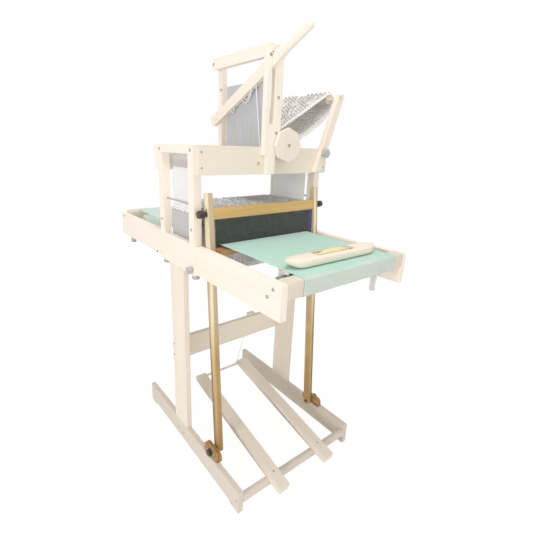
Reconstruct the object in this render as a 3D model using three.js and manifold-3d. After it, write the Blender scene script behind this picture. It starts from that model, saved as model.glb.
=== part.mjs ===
// A dobby loom: a castle loom with a peg-chain dobby head, on a stand with treadles and a floor-hung beater.
// Millimetres. X runs to the weaver's right, Y away from the weaver and Z up.
// The castle's middle is at X 0, Y 0.
import * as THREE from "three";
import { mergeVertices } from "three/addons/utils/BufferGeometryUtils.js";
import Module from "manifold-3d";

const wasm = await Module();
wasm.setup();

// Clearances
const FIT = 0.3; // between pieces that touch
const RUN = 0.6; // round a pin or an axle that turns

// Stand
const STAND_HALF_WIDTH = 280;
const STAND_BOARD = 20;
const FOOT_RAIL_FRONT = -406;
const FOOT_RAIL_LENGTH = 722;
const FOOT_RAIL_HEIGHT = 88;
const FOOT_PAD_LENGTH = 48;
const FOOT_PAD_LIFT = 10;
const LEG_FRONT = -49;
const LEG_WIDTH = 104;
const STAND_HEIGHT = 768; // the loom's castle stands on the legs at this height
const CROSS_BEAM_BOTTOM = 363;
const CROSS_BEAM_HEIGHT = 92;
const CORD_EYE = { x: 110, width: 34, depth: 15, height: 22, rise: 7 };
const FRONT_BAR_RADIUS = 15;
const FRONT_BAR_INSET = 10; // its axis behind the foot rails' front ends
const FRONT_BAR_Z = 50;

// Treadles, hinged on the front bar
const TREADLE_MIDDLES = { left: -126, right: 100 };
const TREADLE_WIDTH = 44;
const TREADLE_THICKNESS = 28;
const TREADLE_SEAT = 12; // its underside above the bar's axis
const TREADLE_NOSE = 64;
const TREADLE_REACH = 515; // from the bar's axis to the rod
const TREADLE_LIFT = 12; // degrees, back end up
const TREADLE_ROD_RADIUS = 5;
const TREADLE_ROD_END = 4; // past each treadle's side
const CORD_RADIUS = 1.6;
const TREADLE_CORD_X = 66;

// Castle: two side frames joined by a front and a back board
const CASTLE_INSET = 2; // its side inside the stand's
const CASTLE_HALF_DEPTH = 128;
const CASTLE_HEIGHT = 414;
const POST_THICKNESS = 28;
const POST_WIDTH = 34;
const PANEL_THICKNESS = 7.3;
const PANEL_HEIGHT = 106;
const TOP_RAIL_THICKNESS = 20;
const TOP_RAIL_HEIGHT = 27;
const GUIDE_ROD_RADIUS = 3.5;
const GUIDE_ROD_HEIGHT = 231; // above the castle's bottom
const CASTLE_FOOT_RADIUS = 11;
const CASTLE_FOOT_HEIGHT = 15;
const BOARD_THICKNESS = 27.7;
const BOARD_HEIGHT = 87.5;
const CLAMP_KNOB_RADIUS = 13;
const CLAMP_KNOB_LENGTH = 18;
const CLAMP_KNOB_HEIGHT = 19; // its axis above the castle's bottom

// Side rails, beams, cloth and warp; a rise is a height above the castle's bottom
const RAIL_INSET = 8; // a rail's outer face inside the castle's side
const RAIL_THICKNESS = 22;
const RAIL_HEIGHT = 98;
const RAIL_RISE = 3;
const RAIL_FRONT = -540;
const RAIL_BACK = 588;
const RAIL_FOOT = { y: 484, radius: 10, height: 23 };
const BREAST_BEAM_DEPTH = 40;
const BREAST_BEAM_HEIGHT = 49;
const BREAST_BEAM_RISE = 105; // to its top
const BREAST_BEAM_OUT = 2; // its face in front of the rails' ends
const BEAM_FILLET = 6;
const BACK_BEAM_DEPTH = 40;
const BACK_BEAM_HEIGHT = 43;
const BACK_BEAM_RISE = 113; // to its top
const BACK_BEAM_IN = 3; // its back face in front of the rails' back ends
const BACK_BEAM_FILLET = 10;
const WEB_HALF_WIDTH = 200; // half the width of the cloth and of the warp
const WEB_THICKNESS = 1.2;
const WEB_HOLD = 6; // degrees of a roll that its web's last stretch lies on
const FELL_GAP = 7; // from the cloth's edge to the reed
const CLOTH_ROLL = { y: -455, rise: 64, radius: 22, endGap: 14, journal: 10 };
const WARP_ROLL = { y: 478, rise: 65, radius: 36, overlap: 5, journal: 12 };
const RATCHET = { radius: 33, depth: 5, teeth: 20, thickness: 7 };
const CRANK = { thickness: 9, width: 16, reach: 104, grip: 11 };

// Beater, hung from the foot rails
const BEATER_PIVOT_Y = -216;
const BEATER_PIVOT_Z = 105;
const BEATER_LEAN = 4.3; // degrees, top away from the weaver
const BRACKET_LENGTH = 92;
const BRACKET_HEIGHT = 34;
const BRACKET_ROUND = 16.5;
const BRACKET_THICKNESS = 20;
const BRACKET_IN = 8; // its outer face inside the foot rail's outer face
const PIVOT_PIN_RADIUS = 5;
const PIN_HEAD_LENGTH = 5;
const PIN_COLLAR_RADIUS = 9;
const PIVOT_GRIP_RADIUS = 12;
const PIVOT_GRIP_LENGTH = 13;
const UPRIGHT_THICKNESS = 20;
const UPRIGHT_GAP = 2; // to the side rail
const UPRIGHT_WIDTH = 30;
const UPRIGHT_TIP_WIDTH = 20; // it narrows from the sley upwards
const UPRIGHT_ABOVE_CAP = 47;
const CAP_HEIGHT = 35;
const CAP_DEPTH = 22;
const CAP_TRAVEL = 14;
const SLEY_UNDER_WEB = 9; // where the reed stands
const SLEY_HEIGHT = 16;
const SLEY_FRONT = 50; // in front of the reed
const SLEY_BACK = 17; // behind it
const REED_THICKNESS = 6;
const REED_BAULK = 9;
const REED_OPENING = 94; // from the sley's top to the cap's underside
const REED_GROOVE = 6;
const REED_SIDE_GAP = 1.5;
const BEATER_KNOB_RADIUS = 13;
const BEATER_KNOB_LENGTH = 29;
const KNOB_STEM_RADIUS = 3.4;
const KNOB_LOBES = 5;
const KNOB_BOSS = 0.35; // the narrow seat's share of a knob's length
const KNOB_NECK = 0.65; // and of its radius

// Harness
const SHAFT_COUNT = 8;
const SHAFT_PITCH = 24;
const SHAFT_THICKNESS = 20;
const SHAFT_GAP = 4; // to the side rail
const SHAFT_DROP = 15; // its bottom under the castle's
const SHAFT_HEIGHT = 205;
const SHAFT_BAR = 14;
const PULLEY_RADIUS = 22;
const PULLEY_GROOVE = 2;
const PULLEY_GROOVE_HALF_WIDTH = 3;
const PULLEY_DROP = 54; // its axis under the castle's top
const PULLEY_AXLE_RADIUS = 4;
const HARNESS_CORD_RADIUS = 1.2;
const HARNESS_CORD_BAR = 3;
const HARNESS_CORD_DROP = 4; // its tie under the pulleys' axis

// Dobby head; a drop or a rise is measured from the castle's top
const LEVER = { middleX: -18, thickness: 16, width: 36, flat: 400, reach: 517, tail: 42, pivotRise: 100 };
const LEVER_TILT = 25.5; // degrees, front end up
const LEVER_SWING = 27; // degrees down from there
const LEVER_HANDLE = { radius: 14, rounding: 6, shoulder: 70 };
const LEVER_CORD_REACH = 257; // from the pivot along the lever
const LEVER_CORD_DROP = 32;
const HEAD_POST = { left: -43, right: 22, shoulderDrop: 27, thickness: 20 };
const HEAD_TONGUE = { left: -28, right: 4 };
const SLOT = { play: 1, clearance: 4 }; // beside the lever, and past each end of its swing
const BACK_POST = { width: 24, depth: 24, inset: 2.7 };
const MEMBER = { height: 36, width: 21, overhang: 12, clearance: 2.4 }; // clear of the raised lever
const MEMBER_BELOW_POST = 32; // its underside under the front post's top
const CASE = { left: -8, thickness: 8, back: 98, drop: 66, rise: 206 };
const CYLINDER = { x: 49, radius: 32, endGap: 8, wheelRadius: 56, wheelThickness: 14, wheelGap: 2, axle: 6.7 };
const CYLINDER_FACETS = 8;
const CHAIN_GAP = 4; // to the castle's inner faces
const CHAIN_BELT = 2.4;
// Where the slack run leaves the cylinder and meets the roller, in degrees, and how far it bows
const CHAIN_SLACK = { leave: -50, arrive: -10, pull: 90 };
const STRAIGHT = 0.002; // a bend below this, in radians, counts as none
const LAG = { pitch: 14, width: 9, height: 6 };
const PEG = { size: 5, height: 7.5, every: 24, holes: 9 };
const ROLLER = { rise: 174, radius: 16, axle: 5 };
const ARM = { foot: 200, drop: 84, rise: 189, slope: 0.345, width: 33, thickness: 20 };
const ARM_PIVOT_DROP = 16;
const ARM_KNOB_RADIUS = 16;
const ARM_KNOB_LENGTH = 18;

// Shuttle
const SHUTTLE = { x: -5, y: -467, turn: -1, length: 375, width: 58, height: 28, bow: 52 };
const SHUTTLE_WELL = { length: 160, width: 34, round: 5 };
const PIRN = { radius: 14, end: 8, spindle: 2, height: 21, tailGap: 8, noseGap: 12, taper: 22 };

// Places worked out from the sizes
const STAND_INNER = STAND_HALF_WIDTH - STAND_BOARD;
const FRONT_BAR_Y = FOOT_RAIL_FRONT + FRONT_BAR_INSET;
const CASTLE_HALF_WIDTH = STAND_HALF_WIDTH - CASTLE_INSET;
const CASTLE_BOTTOM = STAND_HEIGHT;
const CASTLE_TOP = CASTLE_BOTTOM + CASTLE_HEIGHT;
const RAIL_OUTER = CASTLE_HALF_WIDTH - RAIL_INSET;
const RAIL_INNER = RAIL_OUTER - RAIL_THICKNESS;
const RAIL_BOTTOM = CASTLE_BOTTOM + RAIL_RISE;
const RAIL_TOP = RAIL_BOTTOM + RAIL_HEIGHT;
const BOARD_BOTTOM = CASTLE_TOP - BOARD_HEIGHT;
const BOARD_FACE = CASTLE_HALF_DEPTH + FIT + BOARD_THICKNESS;
const UPRIGHT_OUTER = RAIL_INNER - UPRIGHT_GAP;
const UPRIGHT_INNER = UPRIGHT_OUTER - UPRIGHT_THICKNESS;
const SHAFT_END = RAIL_INNER - SHAFT_GAP;
const BREAST_BEAM_TOP = CASTLE_BOTTOM + BREAST_BEAM_RISE;
const BACK_BEAM_TOP = CASTLE_BOTTOM + BACK_BEAM_RISE;
const CLOTH_ROLL_Z = CASTLE_BOTTOM + CLOTH_ROLL.rise;
const CLOTH_ROLL_END = RAIL_INNER - CLOTH_ROLL.endGap;
const WARP_ROLL_Z = CASTLE_BOTTOM + WARP_ROLL.rise;
const WARP_ROLL_END = WEB_HALF_WIDTH + WARP_ROLL.overlap;
const LEAN = THREE.MathUtils.degToRad(BEATER_LEAN);
const WEB_ABOVE_PIVOT = BREAST_BEAM_TOP + FIT + WEB_THICKNESS / 2 - BEATER_PIVOT_Z;
const FELL_Y = BEATER_PIVOT_Y + WEB_ABOVE_PIVOT * Math.tan(LEAN) - REED_THICKNESS / 2 - FELL_GAP;
const SLEY_TOP = WEB_ABOVE_PIVOT / Math.cos(LEAN) - SLEY_UNDER_WEB; // above the pivot, as the next two
const CAP_BOTTOM = SLEY_TOP + REED_OPENING;
const UPRIGHT_LENGTH = CAP_BOTTOM + CAP_HEIGHT + UPRIGHT_ABOVE_CAP;
const SHAFT_BOTTOM = CASTLE_BOTTOM - SHAFT_DROP;
const SHAFT_TOP = SHAFT_BOTTOM + SHAFT_HEIGHT;
const PULLEY_Z = CASTLE_TOP - PULLEY_DROP;
const HARNESS_CORD_END_Z = PULLEY_Z - HARNESS_CORD_DROP;
const HEAD_POST_FACE = BOARD_FACE + FIT + HEAD_POST.thickness;
const BACK_POST_FRONT = CASTLE_HALF_DEPTH + FIT + BACK_POST.inset;
const LEVER_PIVOT_Y = BACK_POST_FRONT + BACK_POST.depth / 2;
const LEVER_PIVOT_Z = CASTLE_TOP + LEVER.pivotRise;
const SLOT_TOP = leverEdge(-HEAD_POST_FACE, LEVER_TILT, 1) + SLOT.clearance;
const SLOT_BOTTOM = leverEdge(-HEAD_POST_FACE, LEVER_TILT - LEVER_SWING, -1) - SLOT.clearance;
const MEMBER_BOTTOM = leverEdge(-BOARD_FACE, LEVER_TILT, 1) + MEMBER.clearance;
const HEAD_POST_TOP = MEMBER_BOTTOM + MEMBER_BELOW_POST;
const CYLINDER_Z = CASTLE_TOP + FIT + CYLINDER.axle;
const CYLINDER_END = CASTLE_HALF_DEPTH - CYLINDER.endGap;
const CHAIN_END = CASTLE_HALF_DEPTH - CHAIN_GAP;
const ARM_BOTTOM = CASTLE_TOP - ARM.drop;
const ARM_TOP = CASTLE_TOP + ARM.rise;
const ARM_PIVOT_Z = CASTLE_TOP - ARM_PIVOT_DROP;
const ROLLER_Z = CASTLE_TOP + ROLLER.rise;
const ROLLER_X = armMiddle(ROLLER_Z);

// Finishes
const wood = (color) => ({ color, roughness: 0.55, metalness: 0 });
const BEECH = wood(0xe8d9c3);
const BEECH_DARK = wood(0xd9c4a5);
const AMBER = wood(0xd9a860);
const BLACK = { color: 0x1c1c1e, roughness: 0.45, metalness: 0 };
const CHARCOAL = { color: 0x3c3d40, roughness: 0.5, metalness: 0.1 };
const REED_STEEL = { color: 0x4a4d4b, roughness: 0.4, metalness: 0.7 };
const GREY = { color: 0x9a9a98, roughness: 0.4, metalness: 0.5 };
const CORD_WHITE = { color: 0xf2f1ec, roughness: 0.9, metalness: 0 };
const CLOTH_GREEN = { color: 0x8fd0b4, roughness: 0.95, metalness: 0 };
const WARP_GREEN = { color: 0xbfd8cb, roughness: 0.95, metalness: 0 };
const YARN_YELLOW = { color: 0xf1dd8a, roughness: 0.9, metalness: 0 };

const loom = new THREE.Group();
loom.name = "dobby_loom";

// Shape helpers

function solidOf(geometry) {
  const bare = geometry.index ? geometry.clone() : geometry;
  bare.deleteAttribute("normal");
  bare.deleteAttribute("uv");
  const merged = mergeVertices(bare, 1e-4);
  const kept = [];
  const index = merged.index.array;
  for (let i = 0; i < index.length; i += 3) {
    const [a, b, c] = index.subarray(i, i + 3);
    if (a !== b && b !== c && c !== a) kept.push(a, b, c);
  }
  const vertProperties = new Float32Array(merged.attributes.position.array);
  return new wasm.Manifold(new wasm.Mesh({ numProp: 3, vertProperties, triVerts: new Uint32Array(kept) }));
}

function geometryOf(solid) {
  const mesh = solid.getMesh();
  const positions = new Float32Array(mesh.numVert * 3);
  for (let i = 0; i < mesh.numVert; i++) {
    positions.set(mesh.vertProperties.subarray(i * mesh.numProp, i * mesh.numProp + 3), i * 3);
  }
  const geometry = new THREE.BufferGeometry();
  geometry.setAttribute("position", new THREE.BufferAttribute(positions, 3));
  geometry.setIndex(new THREE.BufferAttribute(mesh.triVerts, 1));
  geometry.computeVertexNormals();
  return geometry;
}

function join(...geometries) {
  return geometryOf(geometries.map(solidOf).reduce((sum, next) => sum.add(next)));
}

function cut(geometry, ...tools) {
  return geometryOf(tools.map(solidOf).reduce((rest, tool) => rest.subtract(tool), solidOf(geometry)));
}

function add(name, geometry, look, parent = loom) {
  const mesh = new THREE.Mesh(geometry, new THREE.MeshStandardMaterial(look));
  mesh.name = name;
  parent.add(mesh);
  return mesh;
}

// A box between two corners.
function block(x0, x1, y0, y1, z0, z1) {
  const box = new THREE.BoxGeometry(x1 - x0, y1 - y0, z1 - z0);
  return box.translate((x0 + x1) / 2, (y0 + y1) / 2, (z0 + z1) / 2);
}

// A round bar between two points.
function bar(from, to, radius, sides = 24) {
  const a = new THREE.Vector3(...from);
  const b = new THREE.Vector3(...to);
  const along = b.clone().sub(a);
  const turn = new THREE.Quaternion();
  turn.setFromUnitVectors(new THREE.Vector3(0, 1, 0), along.clone().normalize());
  const geometry = new THREE.CylinderGeometry(radius, radius, along.length(), sides);
  geometry.applyQuaternion(turn);
  return geometry.translate((a.x + b.x) / 2, (a.y + b.y) / 2, (a.z + b.z) / 2);
}

function shapeOf(points) {
  return new THREE.Shape(points.map(([u, v]) => new THREE.Vector2(u, v)));
}

function circleHole(u, v, radius, sides = 20) {
  const points = [];
  for (let i = 0; i < sides; i++) {
    const angle = (-2 * Math.PI * i) / sides;
    points.push(new THREE.Vector2(u + radius * Math.cos(angle), v + radius * Math.sin(angle)));
  }
  return new THREE.Path(points);
}

// An outline drawn in (Y, Z) and extruded along X from x0 to x1.
function plateX(shape, x0, x1, curveSegments = 8) {
  const geometry = new THREE.ExtrudeGeometry(shape, { depth: x1 - x0, bevelEnabled: false, curveSegments });
  const axes = new THREE.Matrix4().makeBasis(
    new THREE.Vector3(0, 1, 0),
    new THREE.Vector3(0, 0, 1),
    new THREE.Vector3(1, 0, 0),
  );
  return geometry.applyMatrix4(axes).translate(x0, 0, 0);
}

// An outline drawn in (X, Z) and extruded along Y from y0 to y1.
function plateY(shape, y0, y1, curveSegments = 8) {
  const geometry = new THREE.ExtrudeGeometry(shape, { depth: y1 - y0, bevelEnabled: false, curveSegments });
  return geometry.rotateX(Math.PI / 2).translate(0, y1, 0);
}

// A rectangle with four round corners.
function roundedRectangle(u0, u1, v0, v1, radius) {
  const shape = new THREE.Shape();
  shape.absarc(u1 - radius, v0 + radius, radius, -Math.PI / 2, 0, false);
  shape.absarc(u1 - radius, v1 - radius, radius, 0, Math.PI / 2, false);
  shape.absarc(u0 + radius, v1 - radius, radius, Math.PI / 2, Math.PI, false);
  shape.absarc(u0 + radius, v0 + radius, radius, Math.PI, 1.5 * Math.PI, false);
  return shape;
}

// A body turned about X from (place along X, radius) pairs.
function turnedX(profile, y, z, segments = 24) {
  const points = profile.map(([place, radius]) => new THREE.Vector2(radius, place));
  const geometry = new THREE.LatheGeometry(points, segments);
  return geometry.rotateZ(-Math.PI / 2).translate(0, y, z);
}

// A strip of even thickness along a line of (Y, Z) points, as wide as x0 to x1.
function strip(line, thickness, x0, x1) {
  const sides = [[], []];
  line.forEach((point, i) => {
    const before = line[Math.max(i - 1, 0)];
    const after = line[Math.min(i + 1, line.length - 1)];
    const length = Math.hypot(after[0] - before[0], after[1] - before[1]);
    const normal = [-(after[1] - before[1]) / length, (after[0] - before[0]) / length];
    sides[0].push([point[0] + (normal[0] * thickness) / 2, point[1] + (normal[1] * thickness) / 2]);
    sides[1].push([point[0] - (normal[0] * thickness) / 2, point[1] - (normal[1] * thickness) / 2]);
  });
  return plateX(shapeOf([...sides[0], ...sides[1].reverse()]), x0, x1);
}

function arcPoints(u, v, radius, from, to, steps) {
  const points = [];
  for (let i = 0; i <= steps; i++) {
    const angle = from + ((to - from) * i) / steps;
    points.push([u + radius * Math.cos(angle), v + radius * Math.sin(angle)]);
  }
  return points;
}

// The direction, seen from both centres, of the points where a line under two circles touches them.
// Each circle is [u, v, radius]; side is 1 when the second circle is on the first one's right, else -1.
function tangentUnder(a, b, side) {
  const du = b[0] - a[0];
  const dv = b[1] - a[1];
  const angle = Math.atan2(dv, du) - side * Math.acos((a[2] - b[2]) / Math.hypot(du, dv));
  return angle > 0 ? angle - 2 * Math.PI : angle;
}

// The range along X of a board on one side: side is -1 for left and 1 for right.
function across(side, inner, outer) {
  return side < 0 ? [-outer, -inner] : [inner, outer];
}

// The height over Y of the lever's upper (side 1) or lower (side -1) edge at a tilt in degrees
function leverEdge(y, tilt, side) {
  const angle = THREE.MathUtils.degToRad(tilt);
  return LEVER_PIVOT_Z + (LEVER_PIVOT_Y - y) * Math.tan(angle) + (side * LEVER.width) / 2 / Math.cos(angle);
}

function armMiddle(z) {
  return ARM.foot + ARM.slope * (z - ARM_BOTTOM) + ARM.width / 2;
}

const SIDES = [
  ["left", -1],
  ["right", 1],
];

function buildStand() {
  const railBack = FOOT_RAIL_FRONT + FOOT_RAIL_LENGTH;
  for (const [word, side] of SIDES) {
    const [x0, x1] = across(side, STAND_INNER, STAND_HALF_WIDTH);
    const outline = shapeOf([
      [FOOT_RAIL_FRONT, 0],
      [FOOT_RAIL_FRONT + FOOT_PAD_LENGTH, 0],
      [FOOT_RAIL_FRONT + FOOT_PAD_LENGTH + FOOT_PAD_LIFT, FOOT_PAD_LIFT],
      [railBack - FOOT_PAD_LENGTH - FOOT_PAD_LIFT, FOOT_PAD_LIFT],
      [railBack - FOOT_PAD_LENGTH, 0],
      [railBack, 0],
      [railBack, FOOT_RAIL_HEIGHT],
      [FOOT_RAIL_FRONT, FOOT_RAIL_HEIGHT],
    ]);
    add("foot_rail_" + word, plateX(outline, x0, x1), BEECH);
    const leg = block(
      x0,
      x1,
      LEG_FRONT,
      LEG_FRONT + LEG_WIDTH,
      FOOT_RAIL_HEIGHT + FIT,
      STAND_HEIGHT - FIT,
    );
    add("leg_" + word, leg, BEECH);
  }
  const end = STAND_INNER - FIT;
  const beamBack = LEG_FRONT + LEG_WIDTH;
  const beamFront = beamBack - STAND_BOARD;
  const beamTop = CROSS_BEAM_BOTTOM + CROSS_BEAM_HEIGHT;
  const beam = block(-end, end, beamFront, beamBack, CROSS_BEAM_BOTTOM, beamTop);
  const eye = block(
    CORD_EYE.x - CORD_EYE.width / 2,
    CORD_EYE.x + CORD_EYE.width / 2,
    beamBack - CORD_EYE.depth / 2,
    beamBack + CORD_EYE.depth,
    beamTop + CORD_EYE.rise - CORD_EYE.height,
    beamTop + CORD_EYE.rise,
  );
  add("cross_beam", join(beam, eye), BEECH);
  const frontBar = bar([-end, FRONT_BAR_Y, FRONT_BAR_Z], [end, FRONT_BAR_Y, FRONT_BAR_Z], FRONT_BAR_RADIUS);
  add("front_bar", frontBar, BEECH);
}

function buildTreadles() {
  const hinge = new THREE.Group();
  hinge.position.set(0, FRONT_BAR_Y, FRONT_BAR_Z);
  hinge.rotation.x = THREE.MathUtils.degToRad(TREADLE_LIFT);
  loom.add(hinge);
  const top = TREADLE_SEAT + TREADLE_THICKNESS;
  const middle = TREADLE_SEAT + TREADLE_THICKNESS / 2;
  for (const [word] of SIDES) {
    const x = TREADLE_MIDDLES[word];
    const seat = FRONT_BAR_RADIUS + RUN;
    const seatAngle = Math.asin(TREADLE_SEAT / seat);
    const outline = new THREE.Shape();
    outline.absarc(0, 0, seat, Math.PI - seatAngle, seatAngle, true);
    outline.absarc(TREADLE_REACH, middle, TREADLE_THICKNESS / 2, -Math.PI / 2, Math.PI / 2, false);
    outline.lineTo(-TREADLE_NOSE, top);
    outline.lineTo(-TREADLE_NOSE, TREADLE_SEAT);
    outline.holes.push(circleHole(TREADLE_REACH, middle, TREADLE_ROD_RADIUS + FIT, 12));
    add("treadle_" + word, plateX(outline, x - TREADLE_WIDTH / 2, x + TREADLE_WIDTH / 2), BEECH, hinge);
  }
  const overhang = TREADLE_WIDTH / 2 + TREADLE_ROD_END;
  const rod = bar(
    [TREADLE_MIDDLES.left - overhang, TREADLE_REACH, middle],
    [TREADLE_MIDDLES.right + overhang, TREADLE_REACH, middle],
    TREADLE_ROD_RADIUS,
    12,
  );
  add("treadle_rod", rod, BEECH, hinge);

  const lift = THREE.MathUtils.degToRad(TREADLE_LIFT);
  const rodY = FRONT_BAR_Y + TREADLE_REACH * Math.cos(lift) - middle * Math.sin(lift);
  const rodZ = FRONT_BAR_Z + TREADLE_REACH * Math.sin(lift) + middle * Math.cos(lift);
  const eyeUnder = CROSS_BEAM_BOTTOM + CROSS_BEAM_HEIGHT + CORD_EYE.rise - CORD_EYE.height;
  const eyeY = LEG_FRONT + LEG_WIDTH + (CORD_EYE.depth * 2) / 3;
  const from = [TREADLE_CORD_X, rodY, rodZ + TREADLE_ROD_RADIUS + CORD_RADIUS];
  const to = [CORD_EYE.x, eyeY, eyeUnder - 2 * FIT];
  add("treadle_cord", bar(from, to, CORD_RADIUS, 8), CORD_WHITE);
}

function buildSideFrame(word, side) {
  const [x0, x1] = across(side, CASTLE_HALF_WIDTH - POST_THICKNESS, CASTLE_HALF_WIDTH);
  const [panel0, panel1] = across(side, CASTLE_HALF_WIDTH - PANEL_THICKNESS, CASTLE_HALF_WIDTH);
  const [rail0, rail1] = across(side, CASTLE_HALF_WIDTH - TOP_RAIL_THICKNESS, CASTLE_HALF_WIDTH);
  const [notch0, notch1] = across(side, CASTLE_HALF_WIDTH - POST_THICKNESS - 1, RAIL_OUTER + FIT);
  const postY = CASTLE_HALF_DEPTH - POST_WIDTH;
  const middleX = (x0 + x1) / 2;
  const rodZ = CASTLE_BOTTOM + GUIDE_ROD_HEIGHT;
  const pieces = [
    block(panel0, panel1, -postY, postY, CASTLE_BOTTOM, CASTLE_BOTTOM + PANEL_HEIGHT),
    block(rail0, rail1, -postY, postY, CASTLE_TOP - TOP_RAIL_HEIGHT, CASTLE_TOP),
    bar([middleX, -postY - 1, rodZ], [middleX, postY + 1, rodZ], GUIDE_ROD_RADIUS, 10),
  ];
  for (const end of [-1, 1]) {
    const middleY = end * (CASTLE_HALF_DEPTH - POST_WIDTH / 2);
    const half = POST_WIDTH / 2;
    pieces.push(block(x0, x1, middleY - half, middleY + half, CASTLE_BOTTOM, CASTLE_TOP));
    const foot = [middleX, middleY, CASTLE_BOTTOM - CASTLE_FOOT_HEIGHT];
    pieces.push(bar(foot, [middleX, middleY, CASTLE_BOTTOM], CASTLE_FOOT_RADIUS, 16));
  }
  const notch = block(
    notch0,
    notch1,
    -CASTLE_HALF_DEPTH - 1,
    CASTLE_HALF_DEPTH + 1,
    RAIL_BOTTOM - FIT,
    RAIL_TOP + FIT,
  );
  add("castle_side_" + word, cut(join(...pieces), notch), BEECH);
}

// A knob with lobes, its axis along X or Y, from its seat outwards, and a stem back through what it clamps.
function knob(name, radius, length, stem, look, place, direction) {
  const outline = new THREE.Shape();
  const steps = KNOB_LOBES * 6;
  for (let i = 0; i < steps; i++) {
    const angle = (2 * Math.PI * i) / steps;
    const reach = radius * (0.92 + 0.08 * Math.cos(KNOB_LOBES * angle));
    const point = [reach * Math.cos(angle), reach * Math.sin(angle)];
    if (i === 0) outline.moveTo(...point);
    else outline.lineTo(...point);
  }
  const boss = length * KNOB_BOSS;
  const head = new THREE.ExtrudeGeometry(outline, { depth: length - boss, bevelEnabled: false });
  head.translate(0, 0, boss);
  const neck = bar([0, 0, 0], [0, 0, boss + 1], radius * KNOB_NECK, 16);
  const shank = bar([0, 0, -stem], [0, 0, 1], KNOB_STEM_RADIUS, 12);
  const geometry = stem > 0 ? join(head, neck, shank) : join(head, neck);
  const mesh = add(name, geometry, look, place.parent);
  mesh.position.set(...place.at);
  mesh.quaternion.setFromUnitVectors(new THREE.Vector3(0, 0, 1), new THREE.Vector3(...direction));
  return mesh;
}

function buildCastle() {
  for (const [word, side] of SIDES) {
    buildSideFrame(word, side);
    const at = [
      side * (CASTLE_HALF_WIDTH + FIT),
      -CASTLE_HALF_DEPTH + POST_WIDTH / 2,
      CASTLE_BOTTOM + CLAMP_KNOB_HEIGHT,
    ];
    const place = { parent: loom, at };
    knob("clamp_knob_" + word, CLAMP_KNOB_RADIUS, CLAMP_KNOB_LENGTH, 0, BLACK, place, [side, 0, 0]);
  }
  const inner = CASTLE_HALF_DEPTH + FIT;
  const front = block(-CASTLE_HALF_WIDTH, CASTLE_HALF_WIDTH, -BOARD_FACE, -inner, BOARD_BOTTOM, CASTLE_TOP);
  add("castle_front_board", front, BEECH);
  const back = block(-CASTLE_HALF_WIDTH, CASTLE_HALF_WIDTH, inner, BOARD_FACE, BOARD_BOTTOM, CASTLE_TOP);
  const pivotX = armMiddle(ARM_PIVOT_Z);
  const pin = bar(
    [pivotX, BOARD_FACE - 1, ARM_PIVOT_Z],
    [pivotX, BOARD_FACE + ARM.thickness, ARM_PIVOT_Z],
    KNOB_STEM_RADIUS,
    12,
  );
  add("castle_back_board", join(back, pin), BEECH);
}

function buildRails() {
  for (const [word, side] of SIDES) {
    const [x0, x1] = across(side, RAIL_INNER, RAIL_OUTER);
    const rail = block(x0, x1, RAIL_FRONT, RAIL_BACK, RAIL_BOTTOM, RAIL_TOP);
    const middle = (x0 + x1) / 2;
    const foot = bar(
      [middle, RAIL_FOOT.y, RAIL_BOTTOM - RAIL_FOOT.height],
      [middle, RAIL_FOOT.y, RAIL_BOTTOM + 1],
      RAIL_FOOT.radius,
      16,
    );
    add("side_rail_" + word, join(rail, foot), BEECH);
  }
  const end = RAIL_INNER - FIT;
  const front = RAIL_FRONT - BREAST_BEAM_OUT;
  const breast = roundedRectangle(
    front,
    front + BREAST_BEAM_DEPTH,
    BREAST_BEAM_TOP - BREAST_BEAM_HEIGHT,
    BREAST_BEAM_TOP,
    BEAM_FILLET,
  );
  add("breast_beam", plateX(breast, -end, end, 4), BEECH_DARK);
  const back = RAIL_BACK - BACK_BEAM_IN;
  const backBeam = roundedRectangle(
    back - BACK_BEAM_DEPTH,
    back,
    BACK_BEAM_TOP - BACK_BEAM_HEIGHT,
    BACK_BEAM_TOP,
    BACK_BEAM_FILLET,
  );
  add("back_beam", plateX(backBeam, -end, end, 4), BEECH_DARK);
}

function rollProfile(roll, rollEnd) {
  const end = RAIL_INNER - FIT;
  return [
    [-end, 0],
    [-end, roll.journal],
    [-rollEnd, roll.journal],
    [-rollEnd, roll.radius],
    [rollEnd, roll.radius],
    [rollEnd, roll.journal],
    [end, roll.journal],
    [end, 0],
  ];
}

function ratchetWheel(x0, x1, y, z) {
  const points = [];
  for (let i = 0; i < RATCHET.teeth; i++) {
    const angle = (2 * Math.PI * i) / RATCHET.teeth;
    const tip = [y + RATCHET.radius * Math.cos(angle), z + RATCHET.radius * Math.sin(angle)];
    const root = RATCHET.radius - RATCHET.depth;
    points.push(tip, [y + root * Math.cos(angle), z + root * Math.sin(angle)]);
  }
  return plateX(shapeOf(points), x0, x1);
}

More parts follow.
